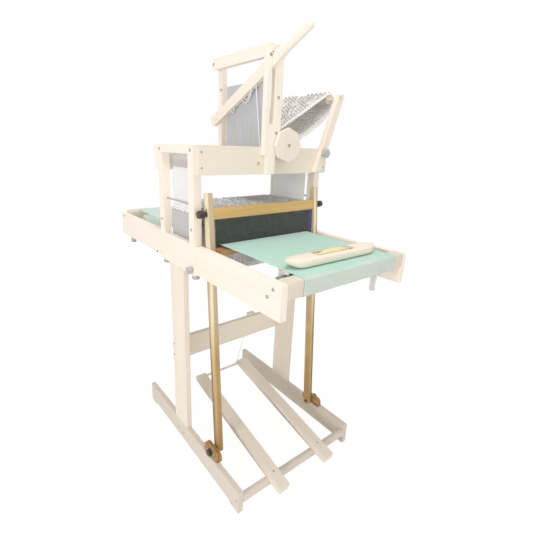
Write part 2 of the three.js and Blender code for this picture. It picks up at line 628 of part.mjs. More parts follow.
function buildCloth() {
  const clothRoll = turnedX(rollProfile(CLOTH_ROLL, CLOTH_ROLL_END), CLOTH_ROLL.y, CLOTH_ROLL_Z, 32);
  add("cloth_roll", clothRoll, CLOTH_GREEN);
  const wheelFrom = WARP_ROLL_END + RATCHET.thickness;
  const wheel = ratchetWheel(wheelFrom, wheelFrom + RATCHET.thickness, WARP_ROLL.y, WARP_ROLL_Z);
  const warpRoll = turnedX(rollProfile(WARP_ROLL, WARP_ROLL_END), WARP_ROLL.y, WARP_ROLL_Z, 32);
  add("warp_roll", join(warpRoll, wheel), WARP_GREEN);

  const crank = new THREE.Shape();
  crank.absarc(CLOTH_ROLL.y, CLOTH_ROLL_Z, CLOTH_ROLL.journal + CRANK.width / 2, 0, Math.PI, false);
  crank.lineTo(CLOTH_ROLL.y - CRANK.width / 2, CLOTH_ROLL_Z - CRANK.reach + CRANK.grip);
  crank.absarc(CLOTH_ROLL.y, CLOTH_ROLL_Z - CRANK.reach, CRANK.grip, 0.75 * Math.PI, 2.25 * Math.PI, false);
  crank.lineTo(CLOTH_ROLL.y + CRANK.width / 2, CLOTH_ROLL_Z - CRANK.reach + CRANK.grip);
  crank.holes.push(circleHole(CLOTH_ROLL.y, CLOTH_ROLL_Z, CLOTH_ROLL.journal + FIT, 24));
  const crankX = CLOTH_ROLL_END + FIT;
  add("cloth_crank", plateX(crank, crankX, crankX + CRANK.thickness), GREY);

  const off = FIT + WEB_THICKNESS / 2;
  const hold = THREE.MathUtils.degToRad(WEB_HOLD);
  const front = RAIL_FRONT - BREAST_BEAM_OUT;
  const web = BREAST_BEAM_TOP + off;
  const wrap = BEAM_FILLET + off;
  const frontU = front + BEAM_FILLET;
  const frontV = BREAST_BEAM_TOP - BREAST_BEAM_HEIGHT + BEAM_FILLET;
  const clothRound = CLOTH_ROLL.radius + off;
  const under = tangentUnder([frontU, frontV, wrap], [CLOTH_ROLL.y, CLOTH_ROLL_Z, clothRound], 1);
  const clothLine = [
    [FELL_Y, web],
    ...arcPoints(frontU, BREAST_BEAM_TOP - BEAM_FILLET, wrap, Math.PI / 2, Math.PI, 6),
    ...arcPoints(frontU, frontV, wrap, Math.PI, 2 * Math.PI + under, 6),
    ...arcPoints(CLOTH_ROLL.y, CLOTH_ROLL_Z, clothRound, under, under + hold, 1),
  ];
  add("cloth", strip(clothLine, WEB_THICKNESS, -WEB_HALF_WIDTH, WEB_HALF_WIDTH), CLOTH_GREEN);

  const back = RAIL_BACK - BACK_BEAM_IN;
  const backWrap = BACK_BEAM_FILLET + off;
  const backU = back - BACK_BEAM_FILLET;
  const backV = BACK_BEAM_TOP - BACK_BEAM_HEIGHT + BACK_BEAM_FILLET;
  const warpRound = WARP_ROLL.radius + off;
  const low = tangentUnder([backU, backV, backWrap], [WARP_ROLL.y, WARP_ROLL_Z, warpRound], -1);
  const warpLine = [
    [FELL_Y + 2 * FIT, BREAST_BEAM_TOP + off],
    ...arcPoints(backU, BACK_BEAM_TOP - BACK_BEAM_FILLET, backWrap, Math.PI / 2, 0, 6),
    ...arcPoints(backU, backV, backWrap, 0, low, 6),
    ...arcPoints(WARP_ROLL.y, WARP_ROLL_Z, warpRound, low, low - hold, 1),
  ];
  add("warp", strip(warpLine, WEB_THICKNESS, -WEB_HALF_WIDTH, WEB_HALF_WIDTH), WARP_GREEN);
}

function buildBrackets() {
  for (const [word, side] of SIDES) {
    const outerX = STAND_HALF_WIDTH - BRACKET_IN;
    const innerX = outerX - BRACKET_THICKNESS;
    const [x0, x1] = across(side, innerX, outerX);
    const bottom = FOOT_RAIL_HEIGHT + FIT;
    const front = BEATER_PIVOT_Y - BRACKET_LENGTH / 2;
    const back = BEATER_PIVOT_Y + BRACKET_LENGTH / 2;
    const top = bottom + BRACKET_HEIGHT;
    const outline = new THREE.Shape();
    outline.moveTo(front, bottom);
    outline.lineTo(back, bottom);
    outline.absarc(back - BRACKET_ROUND, top - BRACKET_ROUND, BRACKET_ROUND, 0, Math.PI / 2, false);
    outline.absarc(front + BRACKET_ROUND, top - BRACKET_ROUND, BRACKET_ROUND, Math.PI / 2, Math.PI, false);
    const at = (x) => [side * x, BEATER_PIVOT_Y, BEATER_PIVOT_Z];
    const pin = bar(at(UPRIGHT_INNER - PIN_HEAD_LENGTH), at(innerX + 1), PIVOT_PIN_RADIUS, 16);
    const collar = bar(at(UPRIGHT_OUTER + RUN), at(innerX + 1), PIN_COLLAR_RADIUS, 16);
    const grip = bar(at(outerX - 1), at(outerX + PIVOT_GRIP_LENGTH), PIVOT_GRIP_RADIUS, 12);
    add("beater_bracket_" + word, join(plateX(outline, x0, x1, 6), pin, collar, grip), AMBER);
  }
}

function buildBeater() {
  const beater = new THREE.Group();
  beater.position.set(0, BEATER_PIVOT_Y, BEATER_PIVOT_Z);
  beater.rotation.x = THREE.MathUtils.degToRad(-BEATER_LEAN);
  loom.add(beater);
  const capMiddle = CAP_BOTTOM + CAP_HEIGHT / 2;
  for (const [word, side] of SIDES) {
    const [x0, x1] = across(side, UPRIGHT_INNER, UPRIGHT_OUTER);
    const foot = UPRIGHT_WIDTH / 2;
    const tip = UPRIGHT_TIP_WIDTH / 2;
    const taperFrom = SLEY_TOP - SLEY_HEIGHT;
    const outline = new THREE.Shape();
    outline.absarc(0, 0, foot, Math.PI, 2 * Math.PI, false);
    outline.lineTo(foot, taperFrom);
    outline.lineTo(tip, UPRIGHT_LENGTH);
    outline.lineTo(-tip, UPRIGHT_LENGTH);
    outline.lineTo(-foot, taperFrom);
    outline.holes.push(circleHole(0, 0, PIVOT_PIN_RADIUS + RUN, 16));
    const slot = new THREE.Path();
    const slotHalf = KNOB_STEM_RADIUS + RUN;
    slot.absarc(0, capMiddle + CAP_TRAVEL, slotHalf, 0, Math.PI, false);
    slot.absarc(0, capMiddle, slotHalf, Math.PI, 2 * Math.PI, false);
    outline.holes.push(slot);
    add("beater_upright_" + word, plateX(outline, x0, x1), AMBER, beater);
    const place = { parent: beater, at: [side * (UPRIGHT_OUTER + FIT), 0, capMiddle] };
    knob(
      "beater_knob_" + word,
      BEATER_KNOB_RADIUS,
      BEATER_KNOB_LENGTH,
      UPRIGHT_THICKNESS + FIT,
      BLACK,
      place,
      [side, 0, 0],
    );
  }
  const end = UPRIGHT_INNER - FIT;
  const grooveHalf = REED_THICKNESS / 2 + FIT;
  const cap = cut(
    block(-end, end, -CAP_DEPTH / 2, CAP_DEPTH / 2, CAP_BOTTOM, CAP_BOTTOM + CAP_HEIGHT),
    block(-end - 1, end + 1, -grooveHalf, grooveHalf, CAP_BOTTOM - 1, CAP_BOTTOM + REED_GROOVE),
  );
  add("beater_cap", cap, AMBER, beater);
  const sley = cut(
    block(-end, end, -SLEY_FRONT, SLEY_BACK, SLEY_TOP - SLEY_HEIGHT, SLEY_TOP),
    block(-end - 1, end + 1, -grooveHalf, grooveHalf, SLEY_TOP - REED_GROOVE, SLEY_TOP + 1),
  );
  add("beater_sley", sley, AMBER, beater);
  const reedEnd = end - REED_SIDE_GAP;
  const reedBottom = SLEY_TOP - REED_GROOVE + FIT;
  const reedTop = CAP_BOTTOM + REED_GROOVE - FIT;
  const half = REED_THICKNESS / 2;
  const reed = cut(
    block(-reedEnd, reedEnd, -half, half, reedBottom, reedTop),
    block(
      -reedEnd + REED_BAULK,
      reedEnd - REED_BAULK,
      -half - 1,
      half + 1,
      reedBottom + REED_BAULK,
      reedTop - REED_BAULK,
    ),
  );
  add("reed", reed, REED_STEEL, beater);
}

function shaftY(i) {
  return (i - (SHAFT_COUNT - 1) / 2) * SHAFT_PITCH;
}

function buildShafts() {
  for (let i = 0; i < SHAFT_COUNT; i++) {
    const y = shaftY(i);
    const outer = block(
      -SHAFT_END,
      SHAFT_END,
      y - SHAFT_THICKNESS / 2,
      y + SHAFT_THICKNESS / 2,
      SHAFT_BOTTOM,
      SHAFT_TOP,
    );
    const window = block(
      SHAFT_BAR - SHAFT_END,
      SHAFT_END - SHAFT_BAR,
      y - SHAFT_THICKNESS,
      y + SHAFT_THICKNESS,
      SHAFT_BOTTOM + SHAFT_BAR,
      SHAFT_TOP - SHAFT_BAR,
    );
    add("shaft_" + (i + 1), cut(outer, window), CHARCOAL);
  }
}

function buildPulleys() {
  const cordOff = PULLEY_RADIUS - PULLEY_GROOVE + HARNESS_CORD_RADIUS + 2 * FIT;
  const cordX = SHAFT_END - SHAFT_BAR / 2;
  const axisX = cordX - cordOff;
  const stackHalf = ((SHAFT_COUNT - 1) / 2) * SHAFT_PITCH + SHAFT_PITCH / 2;
  for (const [word, side] of SIDES) {
    const points = [
      [0, -CASTLE_HALF_DEPTH],
      [PULLEY_AXLE_RADIUS, -CASTLE_HALF_DEPTH],
      [PULLEY_AXLE_RADIUS, -stackHalf],
      [PULLEY_RADIUS, -stackHalf],
    ];
    for (let i = 0; i < SHAFT_COUNT; i++) {
      points.push([PULLEY_RADIUS, shaftY(i) - PULLEY_GROOVE_HALF_WIDTH]);
      points.push([PULLEY_RADIUS - PULLEY_GROOVE, shaftY(i)]);
      points.push([PULLEY_RADIUS, shaftY(i) + PULLEY_GROOVE_HALF_WIDTH]);
    }
    points.push([PULLEY_RADIUS, stackHalf]);
    points.push([PULLEY_AXLE_RADIUS, stackHalf]);
    points.push([PULLEY_AXLE_RADIUS, CASTLE_HALF_DEPTH]);
    points.push([0, CASTLE_HALF_DEPTH]);
    const profile = points.map(([radius, y]) => new THREE.Vector2(radius, y));
    const stack = new THREE.LatheGeometry(profile, 16);
    stack.translate(side * axisX, 0, PULLEY_Z);
    add("pulley_stack_" + word, stack, BLACK);
    add("harness_cords_" + word, harnessCords(side, cordX, axisX, cordOff), CORD_WHITE);
  }
}

// The cords from one end of every shaft: up, over the pulleys and in to the hook case, where a bar ties them.
function harnessCords(side, cordX, axisX, cordOff) {
  const caseMiddle = CASE.left + CASE.thickness / 2;
  const endX = caseMiddle + side * (CASE.thickness / 2 + FIT + HARNESS_CORD_BAR / 2);
  const run = side * axisX - endX;
  const drop = PULLEY_Z - HARNESS_CORD_END_Z;
  const reach = Math.hypot(run, drop);
  const slope = Math.tan(Math.atan2(drop, Math.abs(run)) + Math.asin(cordOff / reach));
  const cornerZ = HARNESS_CORD_END_Z + Math.abs(side * cordX - endX) * slope;
  const half = HARNESS_CORD_BAR / 2;
  const pieces = [
    block(
      endX - half,
      endX + half,
      shaftY(0) - half,
      shaftY(SHAFT_COUNT - 1) + half,
      HARNESS_CORD_END_Z - half,
      HARNESS_CORD_END_Z + half,
    ),
  ];
  for (let i = 0; i < SHAFT_COUNT; i++) {
    const y = shaftY(i);
    const x = side * cordX;
    pieces.push(bar([x, y, SHAFT_TOP + FIT], [x, y, cornerZ + 1], HARNESS_CORD_RADIUS, 6));
    pieces.push(bar([x, y, cornerZ], [endX, y, HARNESS_CORD_END_Z], HARNESS_CORD_RADIUS, 6));
  }
  return join(...pieces);
}

function buildHead() {
  const slotHalf = LEVER.thickness / 2 + SLOT.play;
  const shoulder = CASTLE_TOP - HEAD_POST.shoulderDrop;
  const post = shapeOf([
    [HEAD_TONGUE.left, BOARD_BOTTOM],
    [HEAD_TONGUE.right, BOARD_BOTTOM],
    [HEAD_TONGUE.right, shoulder],
    [HEAD_POST.right, shoulder],
    [HEAD_POST.right, HEAD_POST_TOP],
    [HEAD_POST.left, HEAD_POST_TOP],
    [HEAD_POST.left, shoulder],
    [HEAD_TONGUE.left, shoulder],
  ]);
  const slot = shapeOf([
    [LEVER.middleX - slotHalf, SLOT_BOTTOM],
    [LEVER.middleX - slotHalf, SLOT_TOP],
    [LEVER.middleX + slotHalf, SLOT_TOP],
    [LEVER.middleX + slotHalf, SLOT_BOTTOM],
  ]);
  post.holes.push(slot);
  add("head_front_post", plateY(post, -HEAD_POST_FACE, -BOARD_FACE - FIT), BEECH);

  const postX = LEVER.middleX + LEVER.thickness / 2 + FIT;
  const postBack = BACK_POST_FRONT + BACK_POST.depth;
  const backPost = block(
    postX,
    postX + BACK_POST.width,
    BACK_POST_FRONT,
    postBack,
    CASTLE_TOP + FIT,
    HEAD_POST_TOP,
  );
  const pinEnd = LEVER.middleX - LEVER.thickness / 2 - PIN_HEAD_LENGTH;
  const pin = bar(
    [pinEnd, LEVER_PIVOT_Y, LEVER_PIVOT_Z],
    [postX + 1, LEVER_PIVOT_Y, LEVER_PIVOT_Z],
    PIVOT_PIN_RADIUS,
    16,
  );
  add("head_back_post", join(backPost, pin), BEECH);

  const memberBack = postBack + MEMBER.overhang;
  const half = MEMBER.height / 2;
  const member = new THREE.Shape();
  member.absarc(memberBack - half, MEMBER_BOTTOM + half, half, -Math.PI / 2, Math.PI / 2, false);
  member.lineTo(-BOARD_FACE, MEMBER_BOTTOM + MEMBER.height);
  member.lineTo(-BOARD_FACE, MEMBER_BOTTOM);
  add("head_member", plateX(member, postX - FIT - MEMBER.width, postX - FIT), BEECH);

  const casing = block(
    CASE.left,
    CASE.left + CASE.thickness,
    -CASTLE_HALF_DEPTH,
    CASE.back,
    CASTLE_TOP - CASE.drop,
    CASTLE_TOP + CASE.rise,
  );
  add("hook_case", casing, BLACK);
}

function buildLever() {
  const pivot = new THREE.Group();
  pivot.position.set(LEVER.middleX, LEVER_PIVOT_Y, LEVER_PIVOT_Z);
  pivot.rotation.x = THREE.MathUtils.degToRad(-LEVER_TILT);
  loom.add(pivot);
  const half = LEVER.width / 2;
  const flat = new THREE.Shape();
  const { radius, rounding, shoulder } = LEVER_HANDLE;
  flat.absarc(LEVER.tail - half, 0, half, -Math.PI / 2, Math.PI / 2, false);
  flat.lineTo(shoulder - LEVER.flat, half);
  flat.lineTo(-LEVER.flat, radius);
  flat.lineTo(-LEVER.flat, -radius);
  flat.lineTo(shoulder - LEVER.flat, -half);
  flat.holes.push(circleHole(0, 0, PIVOT_PIN_RADIUS + RUN, 16));
  const board = plateX(flat, -LEVER.thickness / 2, LEVER.thickness / 2);
  const profile = [[0, -LEVER.flat + radius]];
  profile.push([radius, -LEVER.flat + radius]);
  profile.push([radius, -LEVER.reach + rounding]);
  profile.push([radius - rounding / 3, -LEVER.reach + rounding / 3]);
  profile.push([radius - rounding, -LEVER.reach]);
  profile.push([0, -LEVER.reach]);
  const points = profile.reverse().map(([r, y]) => new THREE.Vector2(r, y));
  const handle = new THREE.LatheGeometry(points, 20);
  add("hand_lever", join(board, handle), BEECH, pivot);

  const y = LEVER_PIVOT_Y - LEVER_CORD_REACH * Math.cos(THREE.MathUtils.degToRad(LEVER_TILT));
  const z = leverEdge(y, LEVER_TILT, -1) - CORD_RADIUS;
  const to = [LEVER.middleX, -CASTLE_HALF_DEPTH + CORD_RADIUS + FIT, CASTLE_TOP - LEVER_CORD_DROP];
  add("lever_cord", bar([LEVER.middleX, y, z], to, CORD_RADIUS, 8), CORD_WHITE);
}

function buildCylinder() {
  const { x, radius, wheelRadius, wheelThickness, axle } = CYLINDER;
  const wheelBack = -HEAD_POST_FACE - CYLINDER.wheelGap;
  const prism = (r, y0, y1) => {
    const geometry = new THREE.CylinderGeometry(r, r, y1 - y0, CYLINDER_FACETS);
    return geometry.translate(x, (y0 + y1) / 2, CYLINDER_Z);
  };
  const shaft = bar([x, wheelBack - 1, CYLINDER_Z], [x, BOARD_FACE - 2, CYLINDER_Z], axle, 20);
  const wheel = prism(wheelRadius, wheelBack - wheelThickness, wheelBack);
  add("pattern_cylinder", join(prism(radius, -CYLINDER_END, CYLINDER_END), shaft, wheel), BEECH);
}

// The peg chain's middle line in (X, Z): round the cylinder, up over the roller and back in a slack run.
function chainLine() {
  const low = CYLINDER.radius + FIT + CHAIN_BELT / 2;
  const high = ROLLER.radius + FIT + CHAIN_BELT / 2;
  const dx = ROLLER_X - CYLINDER.x;
  const dz = ROLLER_Z - CYLINDER_Z;
  const tangent = Math.atan2(dz, dx) + Math.PI / 2 + Math.asin((high - low) / Math.hypot(dx, dz));
  const leave = THREE.MathUtils.degToRad(CHAIN_SLACK.leave);
  const arrive = THREE.MathUtils.degToRad(CHAIN_SLACK.arrive);
  const path = new THREE.Path();
  path.absarc(CYLINDER.x, CYLINDER_Z, low, tangent, 2 * Math.PI + leave, false);
  const start = [CYLINDER.x + low * Math.cos(leave), CYLINDER_Z + low * Math.sin(leave)];
  const end = [ROLLER_X + high * Math.cos(arrive), ROLLER_Z + high * Math.sin(arrive)];
  const { pull } = CHAIN_SLACK;
  path.bezierCurveTo(
    start[0] - pull * Math.sin(leave),
    start[1] + pull * Math.cos(leave),
    end[0] + pull * Math.sin(arrive),
    end[1] - pull * Math.cos(arrive),
    end[0],
    end[1],
  );
  path.absarc(ROLLER_X, ROLLER_Z, high, arrive, tangent, false);
  path.closePath();
  return path;
}

// A closed line without the points that lie on the straight between their neighbours.
function bendsOf(points) {
  return points.filter((point, i) => {
    const before = points[(i + points.length - 1) % points.length].clone().sub(point);
    const after = points[(i + 1) % points.length].clone().sub(point);
    return Math.abs(before.cross(after)) > STRAIGHT * before.length() * after.length();
  });
}

function buildChain() {
  const line = chainLine();
  const count = Math.round(line.getLength() / LAG.pitch);
  const steps = count * 4;
  const points = line.getSpacedPoints(steps).slice(0, steps);
  const at = (i) => points[(i + steps) % steps];
  const outward = (i) => {
    const along = at(i + 1).clone().sub(at(i - 1)).normalize();
    return new THREE.Vector2(along.y, -along.x);
  };
  const offset = (i, reach) => at(i).clone().addScaledVector(outward(i), reach);
  const belt = CHAIN_BELT / 2;
  const outer = [];
  const inner = [];
  for (let lag = 0; lag < count; lag++) {
    const middle = lag * 4 + 2;
    const out = outward(middle);
    const along = new THREE.Vector2(-out.y, out.x);
    const corner = (s, reach) =>
      at(middle).clone().addScaledVector(along, (s * LAG.width) / 2).addScaledVector(out, reach);
    const face = belt + LAG.height;
    outer.push(corner(-1, belt), corner(-1, face), corner(1, face), corner(1, belt));
    for (let part = 0; part < 4; part++) inner.push(offset(lag * 4 + part, -belt));
  }
  const shape = new THREE.Shape(outer);
  shape.holes.push(new THREE.Path(bendsOf(inner)));
  const pieces = [plateY(shape, -CHAIN_END, CHAIN_END)];
  for (let lag = 0; lag < count; lag++) {
    const middle = at(lag * 4 + 2);
    const out = outward(lag * 4 + 2);
    for (const hole of [(lag * 2) % PEG.holes, (lag * 2 + 4) % PEG.holes]) {
      const peg = new THREE.BoxGeometry(PEG.size, PEG.size, PEG.height + 2);
      peg.rotateY(Math.atan2(out.x, out.y));
      const reach = belt + LAG.height + PEG.height / 2 - 1;
      peg.translate(
        middle.x + out.x * reach,
        (hole - (PEG.holes - 1) / 2) * PEG.every,
        middle.y + out.y * reach,
      );
      pieces.push(peg);
    }
  }
  add("peg_chain", join(...pieces), CHARCOAL);
}

function buildArms() {
  const lean = ARM.slope * (ARM_TOP - ARM_BOTTOM);
  const pivotX = armMiddle(ARM_PIVOT_Z);
  for (const [word, side] of [
    ["front", -1],
    ["back", 1],
  ]) {
    const shape = shapeOf([
      [ARM.foot, ARM_BOTTOM],
      [ARM.foot + ARM.width, ARM_BOTTOM],
      [ARM.foot + lean + ARM.width, ARM_TOP],
      [ARM.foot + lean, ARM_TOP],
    ]);
    shape.holes.push(circleHole(ROLLER_X, ROLLER_Z, ROLLER.axle + RUN, 16));
    shape.holes.push(circleHole(pivotX, ARM_PIVOT_Z, KNOB_STEM_RADIUS + RUN, 12));
    const face = side * (BOARD_FACE + FIT);
    const far = face + side * ARM.thickness;
    add("chain_arm_" + word, plateY(shape, Math.min(face, far), Math.max(face, far)), BEECH);
  }
  const reach = BOARD_FACE + FIT + ARM.thickness - 2;
  const profile = [
    [0, -reach],
    [ROLLER.axle, -reach],
    [ROLLER.axle, -CHAIN_END],
    [ROLLER.radius, -CHAIN_END],
    [ROLLER.radius, CHAIN_END],
    [ROLLER.axle, CHAIN_END],
    [ROLLER.axle, reach],
    [0, reach],
  ];
  const points = profile.map(([radius, y]) => new THREE.Vector2(radius, y));
  const roller = new THREE.LatheGeometry(points, 20);
  add("chain_roller", roller.translate(ROLLER_X, 0, ROLLER_Z), BEECH_DARK);
  const place = { parent: loom, at: [pivotX, -BOARD_FACE - 2 * FIT - ARM.thickness, ARM_PIVOT_Z] };
  knob("arm_knob", ARM_KNOB_RADIUS, ARM_KNOB_LENGTH, ARM.thickness, BLACK, place, [0, -1, 0]);
}

function buildShuttle() {
  const shuttle = new THREE.Group();
  const clothTop = BREAST_BEAM_TOP + FIT + WEB_THICKNESS;
  shuttle.position.set(SHUTTLE.x, SHUTTLE.y, clothTop + FIT);
  shuttle.rotation.z = THREE.MathUtils.degToRad(SHUTTLE.turn);
  loom.add(shuttle);
  const end = SHUTTLE.length / 2;
  const side = SHUTTLE.width / 2;
  const straight = end - SHUTTLE.bow;
  const bend = (straight + end) / 2;
  const hull = new THREE.Shape();
  hull.moveTo(-end, 0);
  hull.quadraticCurveTo(-bend, -side, -straight, -side);
  hull.lineTo(straight, -side);
  hull.quadraticCurveTo(bend, -side, end, 0);
  hull.quadraticCurveTo(bend, side, straight, side);
  hull.lineTo(-straight, side);
  hull.quadraticCurveTo(-bend, side, -end, 0);
  const well = SHUTTLE_WELL.length / 2;
  const wellSide = SHUTTLE_WELL.width / 2;
  const wellOutline = roundedRectangle(-well, well, -wellSide, wellSide, SHUTTLE_WELL.round);
  hull.holes.push(new THREE.Path(wellOutline.getPoints(3).reverse()));
  const extent = { depth: SHUTTLE.height, bevelEnabled: false, curveSegments: 8 };
  add("shuttle", new THREE.ExtrudeGeometry(hull, extent), BEECH, shuttle);
  const tip = well - FIT;
  const tail = PIRN.tailGap - well;
  const nose = well - PIRN.noseGap;
  const profile = [
    [-tip, 0],
    [-tip, PIRN.spindle],
    [tail, PIRN.spindle],
    [tail, PIRN.end],
    [tail + PIRN.taper, PIRN.radius],
    [nose - PIRN.taper, PIRN.radius],
    [nose, PIRN.end],
    [nose, PIRN.spindle],
    [tip, PIRN.spindle],
    [tip, 0],
  ];
  add("pirn", turnedX(profile, 0, PIRN.height, 20), YARN_YELLOW, shuttle);
}

buildStand();
buildTreadles();
buildCastle();
buildRails();
buildCloth();
buildBrackets();
buildBeater();
buildShafts();
buildPulleys();
buildHead();
buildLever();
buildCylinder();
buildChain();
buildArms();
buildShuttle();

// The part's own frame: its origin is under the middle of its bounding box, on the floor.
loom.updateMatrixWorld(true);
const bounds = new THREE.Box3().setFromObject(loom, true);
const middle = bounds.getCenter(new THREE.Vector3());
loom.position.set(-middle.x, -middle.y, -bounds.min.z);

export default loom;
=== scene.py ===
"""The dobby loom dressed for its picture. Shapes are given in the loom's own millimetres (see at)."""

import random
from math import acos, asin, atan, atan2, ceil, copysign, cos, dist, hypot, pi, radians, sin, tau
from types import SimpleNamespace as Sizes

import bmesh
import bpy
from mathutils import Matrix, Vector


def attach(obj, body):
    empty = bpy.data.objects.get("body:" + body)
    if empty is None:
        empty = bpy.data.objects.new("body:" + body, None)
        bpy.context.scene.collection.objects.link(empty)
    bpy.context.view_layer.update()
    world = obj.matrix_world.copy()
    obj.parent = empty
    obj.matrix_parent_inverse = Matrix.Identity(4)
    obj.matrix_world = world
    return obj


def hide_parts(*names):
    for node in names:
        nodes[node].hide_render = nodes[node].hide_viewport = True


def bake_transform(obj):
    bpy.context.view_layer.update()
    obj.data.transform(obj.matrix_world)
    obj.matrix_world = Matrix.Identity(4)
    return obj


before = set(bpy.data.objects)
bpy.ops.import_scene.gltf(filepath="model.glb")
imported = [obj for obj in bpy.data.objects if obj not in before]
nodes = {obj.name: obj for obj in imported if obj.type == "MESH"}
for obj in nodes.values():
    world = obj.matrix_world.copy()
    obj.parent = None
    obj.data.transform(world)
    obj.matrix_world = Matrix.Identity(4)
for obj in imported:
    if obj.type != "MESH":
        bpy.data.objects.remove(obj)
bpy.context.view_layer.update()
chance = random.Random(7)

# The loom's own frame: X 0 is its middle, Y 0 the castle's middle, Z 0 the floor, in millimetres.
ORIGIN = (20.752, 22.250)
MM = 0.001


def at(point):
    return Vector(((point[0] - ORIGIN[0]) * MM, (point[1] - ORIGIN[1]) * MM, point[2] * MM))


SIDES = (("left", -1), ("right", 1))


def linked(name, data):
    """A new object in the scene."""
    made = bpy.data.objects.new(name, data)
    bpy.context.scene.collection.objects.link(made)
    return made


def add_node(tree, kind, inputs=(), **settings):
    """A node of a tree, with its settings. An input is a socket to link from, or a value."""
    made = tree.nodes.new(kind)
    for key, value in settings.items():
        setattr(made, key, value)
    for key, value in dict(inputs).items():
        if isinstance(value, bpy.types.NodeSocket):
            tree.links.new(value, made.inputs[key])
        else:
            made.inputs[key].default_value = value
    return made


# Camera and light

PHOTO_WIDTH = 533
PHOTO_HEIGHT = 533
FOCAL_PIXELS = 362.02
OPTICAL_CENTRE = (248.04, 265.04)
CAMERA_PLACE = (-821.5, -1126.6, 1181.2)
CAMERA_YAW = 0.6528
CAMERA_PITCH = 0.3159
CAMERA_ROLL = 0.0316
SENSOR = 36
NEAREST = 0.05


def make_camera():
    yaw, pitch, roll = CAMERA_YAW, CAMERA_PITCH, CAMERA_ROLL
    ahead = Vector((sin(yaw) * cos(pitch), cos(yaw) * cos(pitch), -sin(pitch)))
    level = Vector((cos(yaw), -sin(yaw), 0))
    right = cos(roll) * level + sin(roll) * level.cross(ahead)
    up = right.cross(ahead)
    data = bpy.data.cameras.new("camera")
    data.sensor_width = SENSOR
    data.lens = SENSOR * FOCAL_PIXELS / PHOTO_WIDTH
    data.shift_x = (PHOTO_WIDTH / 2 - OPTICAL_CENTRE[0]) / PHOTO_WIDTH
    data.shift_y = (OPTICAL_CENTRE[1] - PHOTO_HEIGHT / 2) / PHOTO_WIDTH
    data.clip_start = NEAREST
    camera = linked("camera", data)
    turn = Matrix((right, up, -ahead)).transposed().to_4x4()
    camera.matrix_world = Matrix.Translation(at(CAMERA_PLACE)) @ turn
    bpy.context.scene.camera = camera


WHITE = (1, 1, 1, 1)
WORLD_COLOUR = (1.0, 0.992, 0.98, 1)
WORLD_FILL = 0.64
LAMPS = {
    "key": Sizes(place=(-3.7, -1.2, 1.6), aim=(0, 0, 0.85), size=1.4, power=42),
    "fill": Sizes(place=(-0.6, -3.3, 0.8), aim=(0, 0, 0.8), size=2.0, power=16),
    "top": Sizes(place=(-0.3, -0.5, 3.2), aim=(0, 0, 0.8), size=1.6, power=26),
}


def seen_directly(tree):
    """1 for what the camera sees, itself or in gloss or through glass, else 0."""
    path = tree.nodes.new("ShaderNodeLightPath")
    value = path.outputs["Is Camera Ray"]
    for name in ("Is Glossy Ray", "Is Transmission Ray"):
        ends = {0: value, 1: path.outputs[name]}
        value = add_node(tree, "ShaderNodeMath", ends, operation="MAXIMUM").outputs[0]
    return value


def make_light():
    world = bpy.data.worlds.new("studio")
    bpy.context.scene.world = world
    world.use_nodes = True
    tree = world.node_tree
    tree.nodes.clear()
    fill = add_node(tree, "ShaderNodeBackground", {"Color": WORLD_COLOUR, "Strength": WORLD_FILL})
    white = add_node(tree, "ShaderNodeBackground", {"Color": WHITE, "Strength": 1})
    ends = {0: seen_directly(tree), 1: fill.outputs[0], 2: white.outputs[0]}
    pick = add_node(tree, "ShaderNodeMixShader", ends)
    add_node(tree, "ShaderNodeOutputWorld", {"Surface": pick.outputs[0]})
    for name, settings in LAMPS.items():
        data = bpy.data.lights.new(name, "AREA")
        data.shape = "DISK"
        data.size = settings.size
        data.energy = settings.power
        lamp = linked(name, data)
        lamp.location = settings.place
        ahead = Vector(settings.aim) - Vector(settings.place)
        lamp.rotation_euler = ahead.to_track_quat("-Z", "Y").to_euler()


# Materials


def colour(red, green, blue):
    """A colour as it looks on the screen, 0 to 255, for a shader."""
    def linear(value):
        part = value / 255
        return part / 12.92 if part <= 0.04045 else ((part + 0.055) / 1.055) ** 2.4

    return (linear(red), linear(green), linear(blue), 1.0)


